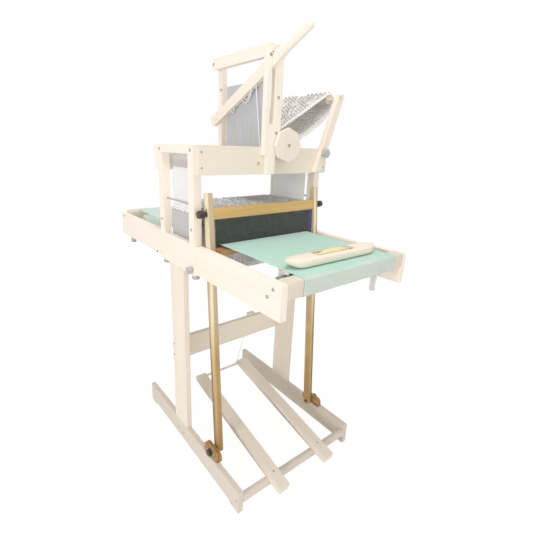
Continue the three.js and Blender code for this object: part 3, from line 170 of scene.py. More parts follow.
class Paint:
    """A material whose nodes are made one after another."""

    def __init__(self, name, roughness=0.5, specular=0.4, metallic=0.0, sheen=0.0):
        self.material = bpy.data.materials.new(name)
        self.material.use_nodes = True
        self.tree = self.material.node_tree
        self.shader = self.tree.nodes["Principled BSDF"]
        self.place = self.tree.nodes.new("ShaderNodeTexCoord")
        self.constants(Roughness=roughness, Specular_IOR_Level=specular)
        self.constants(Metallic=metallic, Sheen_Weight=sheen)

    def constants(self, **values):
        """Sets the shader's own sockets, named with _ for each space."""
        for name, value in values.items():
            self.shader.inputs[name.replace("_", " ")].default_value = value

    def let_through(self, weight, depth):
        """Light passes into the material, about depth metres far."""
        self.constants(Subsurface_Weight=weight, Subsurface_Radius=(1, 1, 1), Subsurface_Scale=depth)

    def node(self, kind, inputs=(), **settings):
        return add_node(self.tree, kind, inputs, **settings)

    def coords(self, scale, turn=(0, 0, 0), source="Object"):
        """Coordinates in the axes that turn gives, then times scale."""
        parts = [1 / part for part in scale]
        inputs = {"Vector": self.place.outputs[source], "Scale": parts, "Rotation": turn}
        return self.node("ShaderNodeMapping", inputs, vector_type="TEXTURE").outputs[0]

    def noise(self, scale, detail=3, distortion=0.0, **coords):
        """Noise in coordinates times scale."""
        place = self.coords(scale, **coords)
        inputs = {"Vector": place, "Scale": 1, "Detail": detail, "Distortion": distortion}
        return self.node("ShaderNodeTexNoise", inputs).outputs["Fac"]

    def wave(self, vector, direction, kind="BANDS", scale=1.0, distortion=0.0, detail=2.0):
        inputs = {"Vector": vector, "Scale": scale, "Distortion": distortion, "Detail": detail}
        way = {kind.lower() + "_direction": direction}
        return self.node("ShaderNodeTexWave", inputs, wave_type=kind, **way).outputs["Fac"]

    def span(self, value, low, high, new_low=0.0, new_high=1.0):
        inputs = {"Value": value, "From Min": low, "From Max": high, "To Min": new_low, "To Max": new_high}
        return self.node("ShaderNodeMapRange", inputs).outputs["Result"]

    def math(self, operation, first, second):
        return self.node("ShaderNodeMath", {0: first, 1: second}, operation=operation).outputs[0]

    def sum(self, *parts):
        """The weighted sum of (value, weight) pairs."""
        total = None
        for value, weight in parts:
            share = self.math("MULTIPLY", value, weight)
            total = share if total is None else self.math("ADD", total, share)
        return total

    def mix(self, factor, *ends):
        """Between two ends, each a socket or a colour as it looks on the screen."""
        first, second = (colour(*end) if isinstance(end, tuple) else end for end in ends)
        return self.node("ShaderNodeMix", {0: factor, 6: first, 7: second}, data_type="RGBA").outputs[2]

    def finish(self, base, bump=None, depth=0.0003, strength=0.4, roughness=None):
        self.tree.links.new(base, self.shader.inputs["Base Color"])
        if roughness is not None:
            self.tree.links.new(roughness, self.shader.inputs["Roughness"])
        if bump is not None:
            bumped = self.node("ShaderNodeBump", {"Height": bump, "Distance": depth, "Strength": strength})
            self.tree.links.new(bumped.outputs[0], self.shader.inputs["Normal"])
        return self.material


AXES = "XYZ"


def stretched(axis, along, across):
    """Texture scales per metre: low along the grain and high across it."""
    return tuple(along if letter == axis else across for letter in AXES)


def beech(name, light, dark, axis, **coords):
    """Pale beech: soft broad tones, fine streaks and short flecks along the grain."""
    paint = Paint(name, specular=0.3)
    board = paint.noise(stretched(axis, 1.2, 13), 3, 0.4, **coords)
    streak = paint.noise(stretched(axis, 4, 140), 4, 0.3, **coords)
    fibre = paint.noise(stretched(axis, 22, 900), **coords)
    fleck = paint.span(paint.noise(stretched(axis, 130, 800), 1, **coords), 0.6, 0.72)
    tone = paint.sum((board, 0.45), (streak, 0.4), (fibre, 0.2), (fleck, 0.12))
    base = paint.mix(paint.span(tone, 0.3, 0.92), light, dark)
    bump = paint.sum((fibre, 1), (fleck, -0.6))
    return paint.finish(base, bump, 0.0004, 0.3, paint.span(fibre, 0.3, 0.7, 0.5, 0.66))


def amber(name, light, dark, axis, figure=0.5):
    """Oiled wood: honey tones with soft growth lines."""
    paint = Paint(name, specular=0.35)
    rings = paint.wave(paint.coords(stretched(axis, 1.6, 20)), axis, "RINGS", 0.9, 9, 3)
    streak = paint.noise(stretched(axis, 3, 60), 4, 0.6)
    fibre = paint.noise(stretched(axis, 30, 1100))
    tone = paint.sum((rings, figure * 0.4), (streak, 0.7), (fibre, 0.25))
    base = paint.mix(paint.span(tone, 0.3, 0.95), light, dark)
    return paint.finish(base, fibre, 0.0004, 0.3, paint.span(streak, 0.3, 0.7, 0.38, 0.55))


def upright_wood(name, side):
    """Pale cream on the outer side as painted light, honey inside and in front as painted shade,
    all darker towards the foot, with a brown strip that wanders along one edge."""
    paint = Paint(name, specular=0.35)
    place = paint.place.outputs["Object"]
    own = {"Vector": place, "Location": at((0, *PIVOT)), "Rotation": (-LEAN, 0, 0)}
    local = paint.node("ShaderNodeMapping", own, vector_type="TEXTURE").outputs[0]
    across, depth, height = paint.node("ShaderNodeSeparateXYZ", {0: local}).outputs
    wander = paint.noise((8, 8, 5), 2, 0.5)
    streak = paint.noise(stretched("Z", 3, 90), 4, 0.6)
    fibre = paint.noise(stretched("Z", 30, 1100))
    height = paint.sum((height, 1), (wander, 0.12))
    middle, foot = paint.span(height, 0.4, 0.64, 1, 0), paint.span(height, 0.12, 0.4, 1, 0)
    grain = paint.span(paint.sum((streak, 0.7), (fibre, 0.3)), 0.3, 0.75)
    tones = {}
    for zone, stops in UPRIGHT_LIT_SHADED_AND_EDGE_TONES.items():
        light, gold, deep = (paint.mix(grain, stop, tuple(c * GRAIN_SHADE for c in stop)) for stop in stops)
        tones[zone] = paint.mix(foot, paint.mix(middle, light, gold), deep)
    out = paint.sum((across, side), (wander, 0.012), (streak, 0.004))
    depth = paint.sum((depth, 1), (wander, 0.03), (streak, 0.006))
    # Painted light and shade: the outermost skin takes the pale outer tones, the rest the honey front tones.
    if side < 0:
        base = paint.mix(paint.span(out, 0.2495, 0.2525, 1, 0), tones["outer"], tones["front"])
        brown_edge = paint.span(depth, 0.0205, 0.0235)
    else:
        base = paint.mix(paint.span(out, 0.234, 0.2375), tones["front"], tones["outer"])
        brown_edge = paint.span(out, 0.2455, 0.2475)
    base = paint.mix(brown_edge, base, tones["brown_edge"])
    return paint.finish(base, fibre, 0.0004, 0.3, paint.span(streak, 0.3, 0.7, 0.38, 0.55))


def plastic(name, base, worn, roughness=0.42, glow=0.0):
    """Moulded plastic. Glow is how much light passes through it."""
    paint = Paint(name, specular=0.45)
    paint.let_through(glow, 0.02)
    grain = paint.noise((1400, 1400, 1400), 2)
    patch = paint.noise((45, 45, 45), 4)
    tone = paint.sum((patch, 0.7), (grain, 0.3))
    body = paint.mix(paint.span(tone, 0.35, 0.72), base, worn)
    rough = paint.span(patch, 0.3, 0.7, roughness - 0.06, roughness + 0.1)
    return paint.finish(body, grain, 0.00012, 0.3, rough)


def metal(name, base, worn, axis, roughness=0.32):
    paint = Paint(name, metallic=0.85)
    brushed = paint.noise(stretched(axis, 60, 2400), 2)
    patch = paint.noise((60, 60, 60))
    tone = paint.sum((brushed, 0.5), (patch, 0.5))
    body = paint.mix(paint.span(tone, 0.35, 0.7), base, worn)
    rough = paint.span(brushed, 0.3, 0.7, roughness, roughness + 0.16)
    return paint.finish(body, brushed, 0.00006, 0.3, rough)


def braid(name, base, shade, pitch=1100, glow=0.0):
    """A braided cord: strands crossing on the slant. Glow is how much light passes through its cotton."""
    paint = Paint(name, roughness=0.85, specular=0.15, sheen=0.2)
    paint.let_through(glow, 0.004)
    scale = (pitch, pitch, pitch)
    one = paint.wave(paint.coords(scale, (0.6, 0.5, 0.78)), "X", scale=0.35)
    other = paint.wave(paint.coords(scale, (-0.6, 0.5, -0.78)), "X", scale=0.35)
    fuzz = paint.noise((700, 700, 700))
    tone = paint.sum((one, 0.35), (other, 0.35), (fuzz, 0.5))
    return paint.finish(paint.mix(paint.span(tone, 0.3, 0.95), shade, base), tone, 0.0003, 0.5)


def weave(name, base, shade, bright, drop=None):
    """Plain weave, its coordinates in metres: weft and warp threads pass over each other in turn.
    Past drop, a run along the warp, the cloth takes the paler colours of a second pair as painted light."""
    paint = Paint(name, roughness=0.88, specular=0.12, sheen=0.35)
    scale = WAVE_TURN / CLOTH_THREAD
    spot = paint.coords((scale, scale, scale), source="UV")
    cross = paint.math("MULTIPLY", paint.wave(spot, "X"), paint.wave(spot, "Y"))
    slub = paint.noise((14, 420, 14), source="UV")
    cloud = paint.noise((9, 16, 9), source="UV")
    fluff = paint.span(paint.noise((330, 330, 330), 2, source="UV"), 0.58, 0.74)
    tone = paint.span(paint.sum((cross, 0.5), (slub, 0.5), (cloud, 0.45)), 0.3, 1.05)
    body = paint.mix(tone, shade, base)
    if drop:
        # Painted light: the cloth hanging over the breast beam takes a paler, greyer pair of tones.
        start, drop_lit_shade, drop_lit_pale = drop
        run = paint.node("ShaderNodeSeparateXYZ", {0: paint.place.outputs["UV"]}).outputs[1]
        over = paint.span(paint.sum((run, 1), (cloud, 0.03)), start + 0.008, start + 0.03)
        body = paint.mix(over, body, paint.mix(tone, drop_lit_shade, drop_lit_pale))
    bump = paint.sum((cross, 1), (slub, 0.8))
    return paint.finish(paint.mix(paint.sum((fluff, 0.35)), body, bright), bump, 0.0005, 0.55)


def yarn(name, base, shade, axis, pitch):
    """Thread wound or laid side by side, a pitch apart along an axis."""
    paint = Paint(name, roughness=0.85, specular=0.15, sheen=0.3)
    scale = WAVE_TURN / pitch
    lay = paint.wave(paint.coords((scale, scale, scale), (0, 0, 0.04)), axis, distortion=0.5, detail=1)
    tone = paint.sum((lay, 0.6), (paint.noise((40, 40, 40)), 0.6))
    return paint.finish(paint.mix(paint.span(tone, 0.25, 0.95), shade, base), lay, 0.0005, 0.6)


PIVOT = (-216, 105)
LEVER_TILT = radians(25.5)
TREADLE_LIFT = radians(12)
ARM_SLOPE = 0.345
LEAN = radians(4.3)
# The wave texture repeats after this much of its coordinates.
WAVE_TURN = 0.3142
CLOTH_THREAD = 0.0021
# The cloth's run from the fell to where it drops over the breast beam.
WEB_END = 366
GRAIN_SHADE = 0.88
# The uprights' tones, light to deep from the top down: outer painted light, front painted shade, brown edge.
UPRIGHT_LIT_SHADED_AND_EDGE_TONES = {
    "outer": ((254, 240, 208), (216, 185, 126), (186, 150, 98)),
    "front": ((214, 192, 158), (192, 158, 112), (182, 147, 94)),
    "brown_edge": ((208, 176, 148), (162, 126, 86), (146, 112, 68)),
}

# Each wood's light and dark tone.
BEECH = (252, 243, 231), (241, 228, 211)
# Painted shade: the stand's beech is darker, as light falls off towards the floor, the foot's darker still.
SHADED_BEECH = (245, 234, 220), (231, 217, 200)
# The treadles, chain arm and pattern cylinder take the stand's darker tones too.
FOOT_SHADED_BEECH = (224, 214, 201), (210, 197, 182)
WOOD = {axis: beech("beech_" + axis.lower(), *BEECH, axis) for axis in AXES}
SHADED_BEECH_WOOD = {axis: beech("beech_shaded_" + axis.lower(), *SHADED_BEECH, axis) for axis in AXES}
FOOT_SHADED_WOOD = {axis: beech("beech_foot_shaded_" + axis.lower(), *FOOT_SHADED_BEECH, axis) for axis in "XY"}
SLANTS = {
    "lever": beech("beech_lever", *BEECH, "Y", turn=(-LEVER_TILT, 0, 0)),
    "treadle": beech("beech_treadle", *SHADED_BEECH, "Y", turn=(TREADLE_LIFT, 0, 0)),
    "arm": beech("beech_arm", *SHADED_BEECH, "Z", turn=(0, atan(ARM_SLOPE), 0)),
}
BOARD = beech("beech_board", (243, 232, 216), (230, 217, 200), "X")
BEAM = beech("beech_beam", (230, 220, 205), (214, 200, 182), "X")
AMBER = amber("amber", (224, 187, 124), (194, 152, 90), "X", 0.3)
# Painted shade: the sley's amber is darker, for the shade it lies in under the cloth and the side rails.
SHADED_SHELF = amber("amber_shelf_shaded", (202, 158, 106), (156, 112, 68), "X")
DISC = amber("amber_disc", (196, 152, 100), (146, 106, 64), "Y", 1.2)
UPRIGHT = {word: upright_wood("amber_upright_" + word, side) for word, side in SIDES}
BLACK = plastic("plastic_black", (48, 38, 34), (84, 70, 62))
BAND = braid("pulley_cord", (200, 196, 194), (187, 183, 181))
GREY = plastic("plastic_grey", (176, 175, 175), (198, 196, 196))
CASE = plastic("plastic_case", (190, 191, 193), (202, 202, 204), 0.55)
PALE = plastic("plastic_pale", (228, 224, 226), (240, 237, 238), 0.5)
SHAFT = plastic("shaft_bar", (194, 190, 191), (206, 202, 203), 0.5)
RUBBER = plastic("rubber", (176, 173, 172), (194, 190, 188), 0.7)
TAPE = plastic("reed_tape", (72, 70, 122), (92, 90, 140), 0.5)
STEEL = metal("steel", (196, 190, 186), (160, 152, 148), "X")
REED = metal("reed_wire", (134, 138, 131), (112, 115, 110), "Z", 0.4)
CORD = braid("cord_white", (255, 255, 255), (250, 250, 250), glow=0.7)
HEDDLE = braid("heddle_cord", (255, 255, 255), (250, 249, 250), 800, glow=0.5)
# The cloth's second pair of colours is painted light, on the part that hangs over the breast beam.
CLOTH = weave(
    "cloth_mint", (196, 228, 215), (170, 212, 197), (226, 240, 232),
    drop=(WEB_END * MM, (190, 201, 192), (226, 234, 220)),
)
THREAD = yarn("warp_mint", (242, 255, 250), (222, 242, 234), "X", 0.0011)
ROLL = weave("roll_mint", (176, 206, 206), (132, 170, 176), (214, 230, 228))
LAG_PAINT = plastic("lag", (244, 240, 236), (231, 227, 222), 0.6, 0.9)
PEG_PAINT = plastic("peg", (204, 201, 199), (220, 217, 215), 0.55, 0.5)
PEG_BROWN = plastic("peg_brown", (222, 211, 201), (208, 196, 186), 0.55)
CHAIN_CORD = braid("chain_cord", (240, 237, 235), (216, 211, 208))
PIRN = yarn("pirn_yarn", (253, 240, 196), (236, 216, 158), "X", 0.0009)


# Shape helpers


def round_turn(count):
    return [tau * step / count for step in range(count)]


class Form:
    """A mesh gathered from parts, in the loom's millimetres."""

    def __init__(self):
        self.points = []
        self.faces = []
        self.flat = []

    def add(self, points, faces, flat=None):
        start = len(self.points)
        self.points += [tuple(p) for p in points]
        self.faces += [[start + i for i in face] for face in faces]
        self.flat += flat if flat else [(p[0], p[1]) for p in points]

    def box(self, x0, x1, y0, y1, z0, z1, round_by=0.0):
        """A box, its long edges taken off by round_by."""
        r = min(round_by, (x1 - x0) / 2.01, (y1 - y0) / 2.01, (z1 - z0) / 2.01)
        rings = []
        for z, inset in ((z0, r), (z0 + r, 0), (z1 - r, 0), (z1, r)):
            a0, a1, b0, b1 = x0 + inset, x1 - inset, y0 + inset, y1 - inset
            c = r * 0.6
            rings.append([(a0 + c, b0, z), (a1 - c, b0, z), (a1, b0 + c, z), (a1, b1 - c, z),
                          (a1 - c, b1, z), (a0 + c, b1, z), (a0, b1 - c, z), (a0, b0 + c, z)])
        self.loft(rings)

    def loft(self, rings, closed=True):
        """Skin over rings of as many points each, with a face at both ends."""
        count = len(rings[0])
        points = [p for ring in rings for p in ring]
        faces = []
        for r in range(len(rings) - 1):
            for i in range(count):
                a, b = r * count + i, r * count + (i + 1) % count
                faces.append([a, b, b + count, a + count])
        if closed:
            faces.append(list(range(count))[::-1])
            faces.append([(len(rings) - 1) * count + i for i in range(count)])
        self.add(points, faces)

    def tube(self, path, wide, high=None, sides=6, up=(0, 0, 1), loop=False):
        """A rod of oval section along a path of points."""
        high = wide if high is None else high
        path = [Vector(p) for p in path]
        rings = []
        side = None
        for i, point in enumerate(path):
            before = path[i - 1] if i or loop else point
            after = path[(i + 1) % len(path)] if i < len(path) - 1 or loop else point
            ahead = (after - before).normalized()
            guess = side if side is not None else ahead.cross(Vector(up))
            if guess.length < 0.01:
                guess = ahead.cross(Vector((1, 0, 0)))
            side = (guess - ahead * guess.dot(ahead)).normalized()
            top = side.cross(ahead)
            rings.append([point + side * (wide * cos(t)) + top * (high * sin(t)) for t in round_turn(sides)])
        if loop:
            rings.append(rings[0])
        self.loft(rings, not loop)

    def turned(self, profile, centre, axis, sides=24):
        """A turned body: (place along the axis, radius) pairs from a centre, along +axis."""
        ahead = Vector(axis).normalized()
        side = ahead.orthogonal().normalized()
        top = ahead.cross(side)
        rings = []
        for place, radius in profile:
            middle = Vector(centre) + ahead * place
            radius = max(radius, 0.02)
            rings.append([middle + (side * cos(t) + top * sin(t)) * radius for t in round_turn(sides)])
        self.loft(rings)

    def make(self, name, material, body, slot, replaces=(), smooth=40, bevel=0.0):
        """The object."""
        mesh = bpy.data.meshes.new(name)
        mesh.from_pydata([at(p) for p in self.points], [], self.faces)
        mesh.validate()
        layer = mesh.uv_layers.new(name="flat")
        for loop in mesh.loops:
            u, v = self.flat[loop.vertex_index]
            layer.data[loop.index].uv = (u * MM, v * MM)
        mesh.polygons.foreach_set("use_smooth", [True] * len(mesh.polygons))
        mesh.set_sharp_from_angle(angle=radians(smooth))
        made = linked(name, mesh)
        mesh.materials.append(material)
        outward(made)
        if bevel:
            soften(made, bevel)
        if body:
            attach(made, body)
        if replaces:
            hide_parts(*replaces)
        return made


def outward(made):
    """Turns every face of each closed body outwards."""
    shape = bmesh.new()
    shape.from_mesh(made.data)
    bmesh.ops.recalc_face_normals(shape, faces=shape.faces)
    shape.to_mesh(made.data)
    shape.free()


def soften(made, width):
    bevel = made.modifiers.new("bevel", "BEVEL")
    bevel.width = width * MM
    bevel.segments = 2
    bevel.limit_method = "ANGLE"
    bevel.angle_limit = radians(50)
    bevel.use_clamp_overlap = True
    bevel.harden_normals = True


JOIN_WITHIN = 1e-6
SMOOTH_UP_TO = radians(34)


def shading_group():
    """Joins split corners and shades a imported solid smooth, except where it has an edge."""
    group = bpy.data.node_groups.new("shading", "GeometryNodeTree")
    for way in ("INPUT", "OUTPUT"):
        group.interface.new_socket("Geometry", in_out=way, socket_type="NodeSocketGeometry")
    start = add_node(group, "NodeGroupInput")
    merge = add_node(group, "GeometryNodeMergeByDistance", {0: start.outputs[0], "Distance": JOIN_WITHIN})
    angle = add_node(group, "GeometryNodeInputMeshEdgeAngle")
    ends = {0: angle.outputs["Unsigned Angle"], 1: SMOOTH_UP_TO}
    sharp = add_node(group, "FunctionNodeCompare", ends)
    ends = {"Mesh": merge.outputs[0], "Remove Custom": True, "Edge Sharpness": sharp.outputs[0]}
    normal = add_node(group, "GeometryNodeSetMeshNormal", ends)
    add_node(group, "NodeGroupOutput", {0: normal.outputs[0]})
    return group


SHADING = shading_group()


def dress(name, material, bevel=1.2, extra=None, when=None):
    """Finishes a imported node: its material, an extra one on the faces that when picks, and soft edges."""
    piece = nodes[name]
    piece.data.materials.clear()
    piece.data.materials.append(material)
    if extra:
        piece.data.materials.append(extra)
        for face in piece.data.polygons:
            middle = face.center
            place = (middle.x / MM + ORIGIN[0], middle.y / MM + ORIGIN[1], middle.z / MM)
            face.material_index = 1 if when(*place) else 0
    shade = piece.modifiers.new("shading", "NODES")
    shade.node_group = SHADING
    if bevel:
        soften(piece, bevel)


def bolt(form, place, axis, radius, height):
    """A domed head with a recess, standing on a face at place and looking along axis."""
    form.turned(
        [(-0.6, radius), (height * 0.45, radius), (height * 0.8, radius * 0.8), (height, radius * 0.5),
         (height * 0.98, radius * 0.42), (height * 0.55, radius * 0.36), (height * 0.5, 0)],
        place, axis, 16,
    )


# Stand and treadles

# Each screw's Y, Z, radius and height.
STAND_SCREWS = (
    (-396, 50, 4.2, 1.6), (-14, 44, 4.2, 1.6), (28, 44, 4.2, 1.6), (45, 385, 4.6, 1.8), (45, 433, 4.6, 1.8),
)
TREADLE_HINGE = (-396, 50)


def on_treadle(along, above):
    """The (Y, Z) of a point so far along a treadle from its hinge and above its middle."""
    ahead, up = cos(TREADLE_LIFT), sin(TREADLE_LIFT)
    return TREADLE_HINGE[0] + along * ahead - above * up, TREADLE_HINGE[1] + along * up + above * ahead


def make_stand():
    screws, heads = Form(), Form()
    for word, side in SIDES:
        # The foot rails and front bar take the darkest painted shade, the legs, beam, rod and treadles a
        # lighter one.
        dress("foot_rail_" + word, FOOT_SHADED_WOOD["Y"], 2.0)
        dress("leg_" + word, SHADED_BEECH_WOOD["Z"], 2.0)
        dress("treadle_" + word, SLANTS["treadle"], 2.4)
        for y, z, radius, height in STAND_SCREWS:
            bolt(screws, (side * 280, y, z), (side, 0, 0), radius, height)
    dress("cross_beam", SHADED_BEECH_WOOD["X"], 1.6)
    dress("front_bar", FOOT_SHADED_WOOD["X"], 1.0)
    dress("treadle_rod", SHADED_BEECH_WOOD["X"], 0.6)
    screws.make("stand_screws", STEEL, "stand", "grey_metal")
    for x in (-126, 100):
        bolt(heads, (x, *on_treadle(0, 40)), (0, -sin(TREADLE_LIFT), cos(TREADLE_LIFT)), 4.4, 1.4)
    heads.make("treadle_screws", STEEL, "treadles", "grey_metal")


# Castle, rails and beams

CASTLE_FOOT = [(0, 12.2), (3, 13), (6, 12.4), (12, 11.6), (14.8, 11.4)]
RAIL_FOOT = [(0, 10.8), (3, 11.6), (7, 10.9), (22, 10.6)]
BOARD_FACE = 156
# Each bolt's place along X, Y and Z.
SIDE_BOLTS = (
    (270, -510, 850), (270, -489, 824), (270, 556, 858),
    (278, -111, 922), (278, 111, 922), (278, -111, 1166), (278, 111, 1166),
)


def make_castle():
    for word, side in SIDES:
        dress(
            "castle_side_" + word, WOOD["Z"], 1.6, RUBBER,
            lambda x, y, z: z < 767.9 or 993 < z < 1005 and abs(abs(x) - 264) < 6 and abs(y) < 93.9,
        )
        dress("side_rail_" + word, WOOD["Y"], 2.4, RUBBER, lambda x, y, z: z < 770.8)
        dress("clamp_knob_" + word, GREY, 1.4)
    dress("castle_front_board", BOARD, 1.8)
    dress("castle_back_board", WOOD["X"], 1.8)
    dress("breast_beam", BEAM, 0.8)
    dress("back_beam", BEAM, 0.8)
    bolts = Form()
    for side in (-1, 1):
        for reach, y, z in SIDE_BOLTS:
            bolt(bolts, (side * reach, y, z), (side, 0, 0), 5, 2.2)
    bolt(bolts, (-50, -BOARD_FACE, 1130), (0, -1, 0), 5.5, 2.4)
    for x in (-264, 264):
        for z in (1116, 1162):
            bolt(bolts, (x, -BOARD_FACE, z), (0, -1, 0), 3.6, 1.2)
            bolt(bolts, (x, BOARD_FACE, z), (0, 1, 0), 3.6, 1.2)
    bolts.make("castle_bolts", STEEL, "stand", "grey_metal")
    feet = Form()
    for side in (-1, 1):
        for y in (-111, 111):
            feet.turned(CASTLE_FOOT, (side * 264, y, 753.1), (0, 0, 1))
        feet.turned(RAIL_FOOT, (side * 259, 484, 748.2), (0, 0, 1))
    feet.make("rubber_feet", RUBBER, "stand", "black_plastic")
    hook = Form()
    bolt(hook, (-270, 189, 776), (-1, 0, 0), 3.4, 2.6)
    hook.make("rail_stud", BLACK, "stand", "black_plastic")


# Cloth, warp and their rollers

CLOTH_HALF = 200
BREAST = Sizes(y=-542, top=873, bottom=824, round=6)
CLOTH_BEAM = Sizes(y=-455, z=832, radius=22)
BACK = Sizes(y=585, top=881, bottom=838, round=10)
WARP_BEAM = Sizes(y=478, z=833, radius=36)
FELL = -168.2
SELVEDGE_KNOTS = ((-202.6, -473, 870.6, 3.0), (-202.4, -487, 870.4, 3.2), (-202.6, -480, 871.6, 2.0))


def arc(y, z, radius, start, end, steps):
    turns = [start + (end - start) * i / steps for i in range(steps + 1)]
    return [(y + radius * cos(t), z + radius * sin(t)) for t in turns]


def cloth_line(lift):
    """The cloth's path in (Y, Z): along the web, round the breast beam and under to its roller."""
    radius = BREAST.round + lift
    y, high, low = BREAST.y + BREAST.round, BREAST.top - BREAST.round, BREAST.bottom + BREAST.round
    reach = CLOTH_BEAM.radius + lift
    dy, dz = CLOTH_BEAM.y - y, CLOTH_BEAM.z - low
    under = atan2(dz, dy) - acos((radius - reach) / hypot(dy, dz))
    flat = [(FELL + (y - FELL) * i / 60, BREAST.top + lift) for i in range(61)]
    return (
        flat[:-1]
        + arc(y, high, radius, pi / 2, pi, 6)
        + arc(y, low, radius, pi, tau + under, 8)
        + arc(CLOTH_BEAM.y, CLOTH_BEAM.z, reach, under, under + 0.25, 2)
    )


def spread(line, step):
    """The same path with points no further apart than step."""
    out = [line[0]]
    for a, b in zip(line, line[1:]):
        parts = max(1, ceil(dist(a, b) / step))
        for i in range(1, parts + 1):
            out.append((a[0] + (b[0] - a[0]) * i / parts, a[1] + (b[1] - a[1]) * i / parts))
    return out


def make_cloth():
    line = spread(cloth_line(0.9), 5)
    columns = 96
    form = Form()
    points, flat = [], []
    run = 0.0
    for i, (y, z) in enumerate(line):
        before, after = line[max(i - 1, 0)], line[min(i + 1, len(line) - 1)]
        run += dist(before, line[i])
        length = dist(before, after)
        out = (after[1] - before[1]) / length, (before[0] - after[0]) / length
        for c in range(columns + 1):
            across = -1 + 2 * c / columns
            draw = 1 - 0.012 * sin(min(run / 330, 1) * pi / 2)
            edge = 0.6 * sin(run * 0.11) + 0.4 * sin(run * 0.037 + 1)
            x = across * (CLOTH_HALF - 0.8) * draw + across ** 9 * edge
            ripple = 0.22 * sin(x * 0.045 + run * 0.02) + 0.16 * sin(x * 0.12 - run * 0.05)
            drop = max(0.0, sin(min(max((run - WEB_END) / 62, 0), 1) * pi))
            pucker = abs(sin(x * 0.17 + 0.6 * sin(run * 0.3))) + 0.5 * abs(sin(x * 0.41 + run * 0.16))
            rise = ripple * 0.6 + pucker * drop * 0.9 + 0.3
            points.append((x, y + out[0] * rise, z + out[1] * rise))
            flat.append((x, run))
    rows = len(line)
    width = columns + 1
    faces = [
        [r * width + c, r * width + c + 1, (r + 1) * width + c + 1, (r + 1) * width + c]
        for r in range(rows - 1)
        for c in range(columns)
    ]
    form.add(points, faces, flat)
    cloth = form.make("woven_cloth", CLOTH, "stand", "green_cloth", ("cloth",), 80)
    thick = cloth.modifiers.new("thickness", "SOLIDIFY")
    thick.thickness = 0.0009
    thick.offset = 0
    ends = Form()
    for x, y, z, size in SELVEDGE_KNOTS:
        knot(ends, (x, y, z), size)
    ends.make("selvedge_knots", CORD, "stand", "green_cloth", smooth=60)


def make_warp():
    lift = 0.7
    radius = BACK.round + lift
    y, high, low = BACK.y - BACK.round, BACK.top - BACK.round, BACK.bottom + BACK.round
    reach = WARP_BEAM.radius + lift
    dy, dz = WARP_BEAM.y - y, WARP_BEAM.z - low
    below = atan2(dz, dy) + acos((radius - reach) / hypot(dy, dz))
    below = below - tau if below > 0 else below
    line = (
        [(FELL + 0.6, BREAST.top + lift), (0, BREAST.top + lift + 2), (300, BREAST.top + lift + 5)]
        + arc(y, high, radius, pi / 2, 0, 5)
        + arc(y, low, radius, 0, below, 5)
        + arc(WARP_BEAM.y, WARP_BEAM.z, reach, below, below - 0.2, 2)
    )
    form = Form()
    count = 200
    for i in range(count):
        x = -CLOTH_HALF + 1.2 + (2 * CLOTH_HALF - 2.4) * i / (count - 1)
        shift = 0.25 * (chance.random() - 0.5)
        form.tube([(x + shift, py, pz) for py, pz in line], 0.62, 0.5, 4)
    form.make("warp_threads", THREAD, "stand", "green_warp", ("warp",), 80)


ROLLER_END = 247.7
RATCHET = Sizes(teeth=20, tip=33, root=28)


def roller(name, beam, half, material, slot, body, node, wound, journal):
    """A roller with its cloth or warp wound on, the winding a little uneven."""
    core, turns = Form(), Form()
    middle = (0, beam.y, beam.z)
    r = beam.radius
    wood = r * 0.55
    end = ROLLER_END
    profile = [(-end, journal * 0.86), (-end + 1.2, journal), (-half - 1, journal)]
    profile += [(-half, wood), (-half + 2, wood + 1)]
    core.turned(profile + [(-place, size) for place, size in profile[::-1]], middle, (1, 0, 0), 32)
    core.make(name + "_core", BEAM, body, "beam_wood")
    profile = [(-wound - 0.5, wood + 0.8), (-wound - 0.9, r * 0.8), (-wound, r - 0.9)]
    for step in range(41):
        share = step / 40
        lump = 0.35 * sin(share * 31) + 0.25 * sin(share * 83 + 1)
        profile.append((-wound + 2 * wound * share, r - 0.55 + lump * 0.5))
    profile += [(wound, r - 0.9), (wound + 0.9, r * 0.8), (wound + 0.5, wood + 0.8)]
    turns.turned(profile, middle, (1, 0, 0), 40)
    turns.flat = [(x, atan2(z - beam.z, y - beam.y) * r) for x, y, z in turns.points]
    turns.make(name + "_turns", material, body, slot, (node,), 60)


def make_rollers():
    roller("cloth_roller", CLOTH_BEAM, 234, ROLL, "green_cloth", "cloth_beam", "cloth_roll", 200.5, 10)
    roller("warp_roller", WARP_BEAM, 205, THREAD, "green_warp", "warp_beam", "warp_roll", 201, 12)
    wheel = Form()
    rim = []
    for i in range(RATCHET.teeth):
        turn = tau * i / RATCHET.teeth
        rim += [(RATCHET.tip, turn), (RATCHET.root, turn)]
    y, z = WARP_BEAM.y, WARP_BEAM.z
    wheel.loft([[(x, y + r * cos(t), z + r * sin(t)) for r, t in rim] for x in (212, 219)])
    wheel.make("ratchet_wheel", GREY, "warp_beam", "grey_metal", smooth=20, bevel=0.5)
    dress("cloth_crank", PALE, 1.6)


# Beater and reed

BRACKET_BACK, BRACKET_FACE = 251.6, 272
REED_HALF = 213
TAPE_SECTION = ((206, -3.5), (223.6, -3.5), (223.6, 3.5), (206, 3.5))
DENT_PITCH = 1.42


def leaning(x, y, z):
    """A point of the upright beater, carried to where it leans."""
    return x, PIVOT[0] + y * cos(LEAN) + z * sin(LEAN), PIVOT[1] - y * sin(LEAN) + z * cos(LEAN)


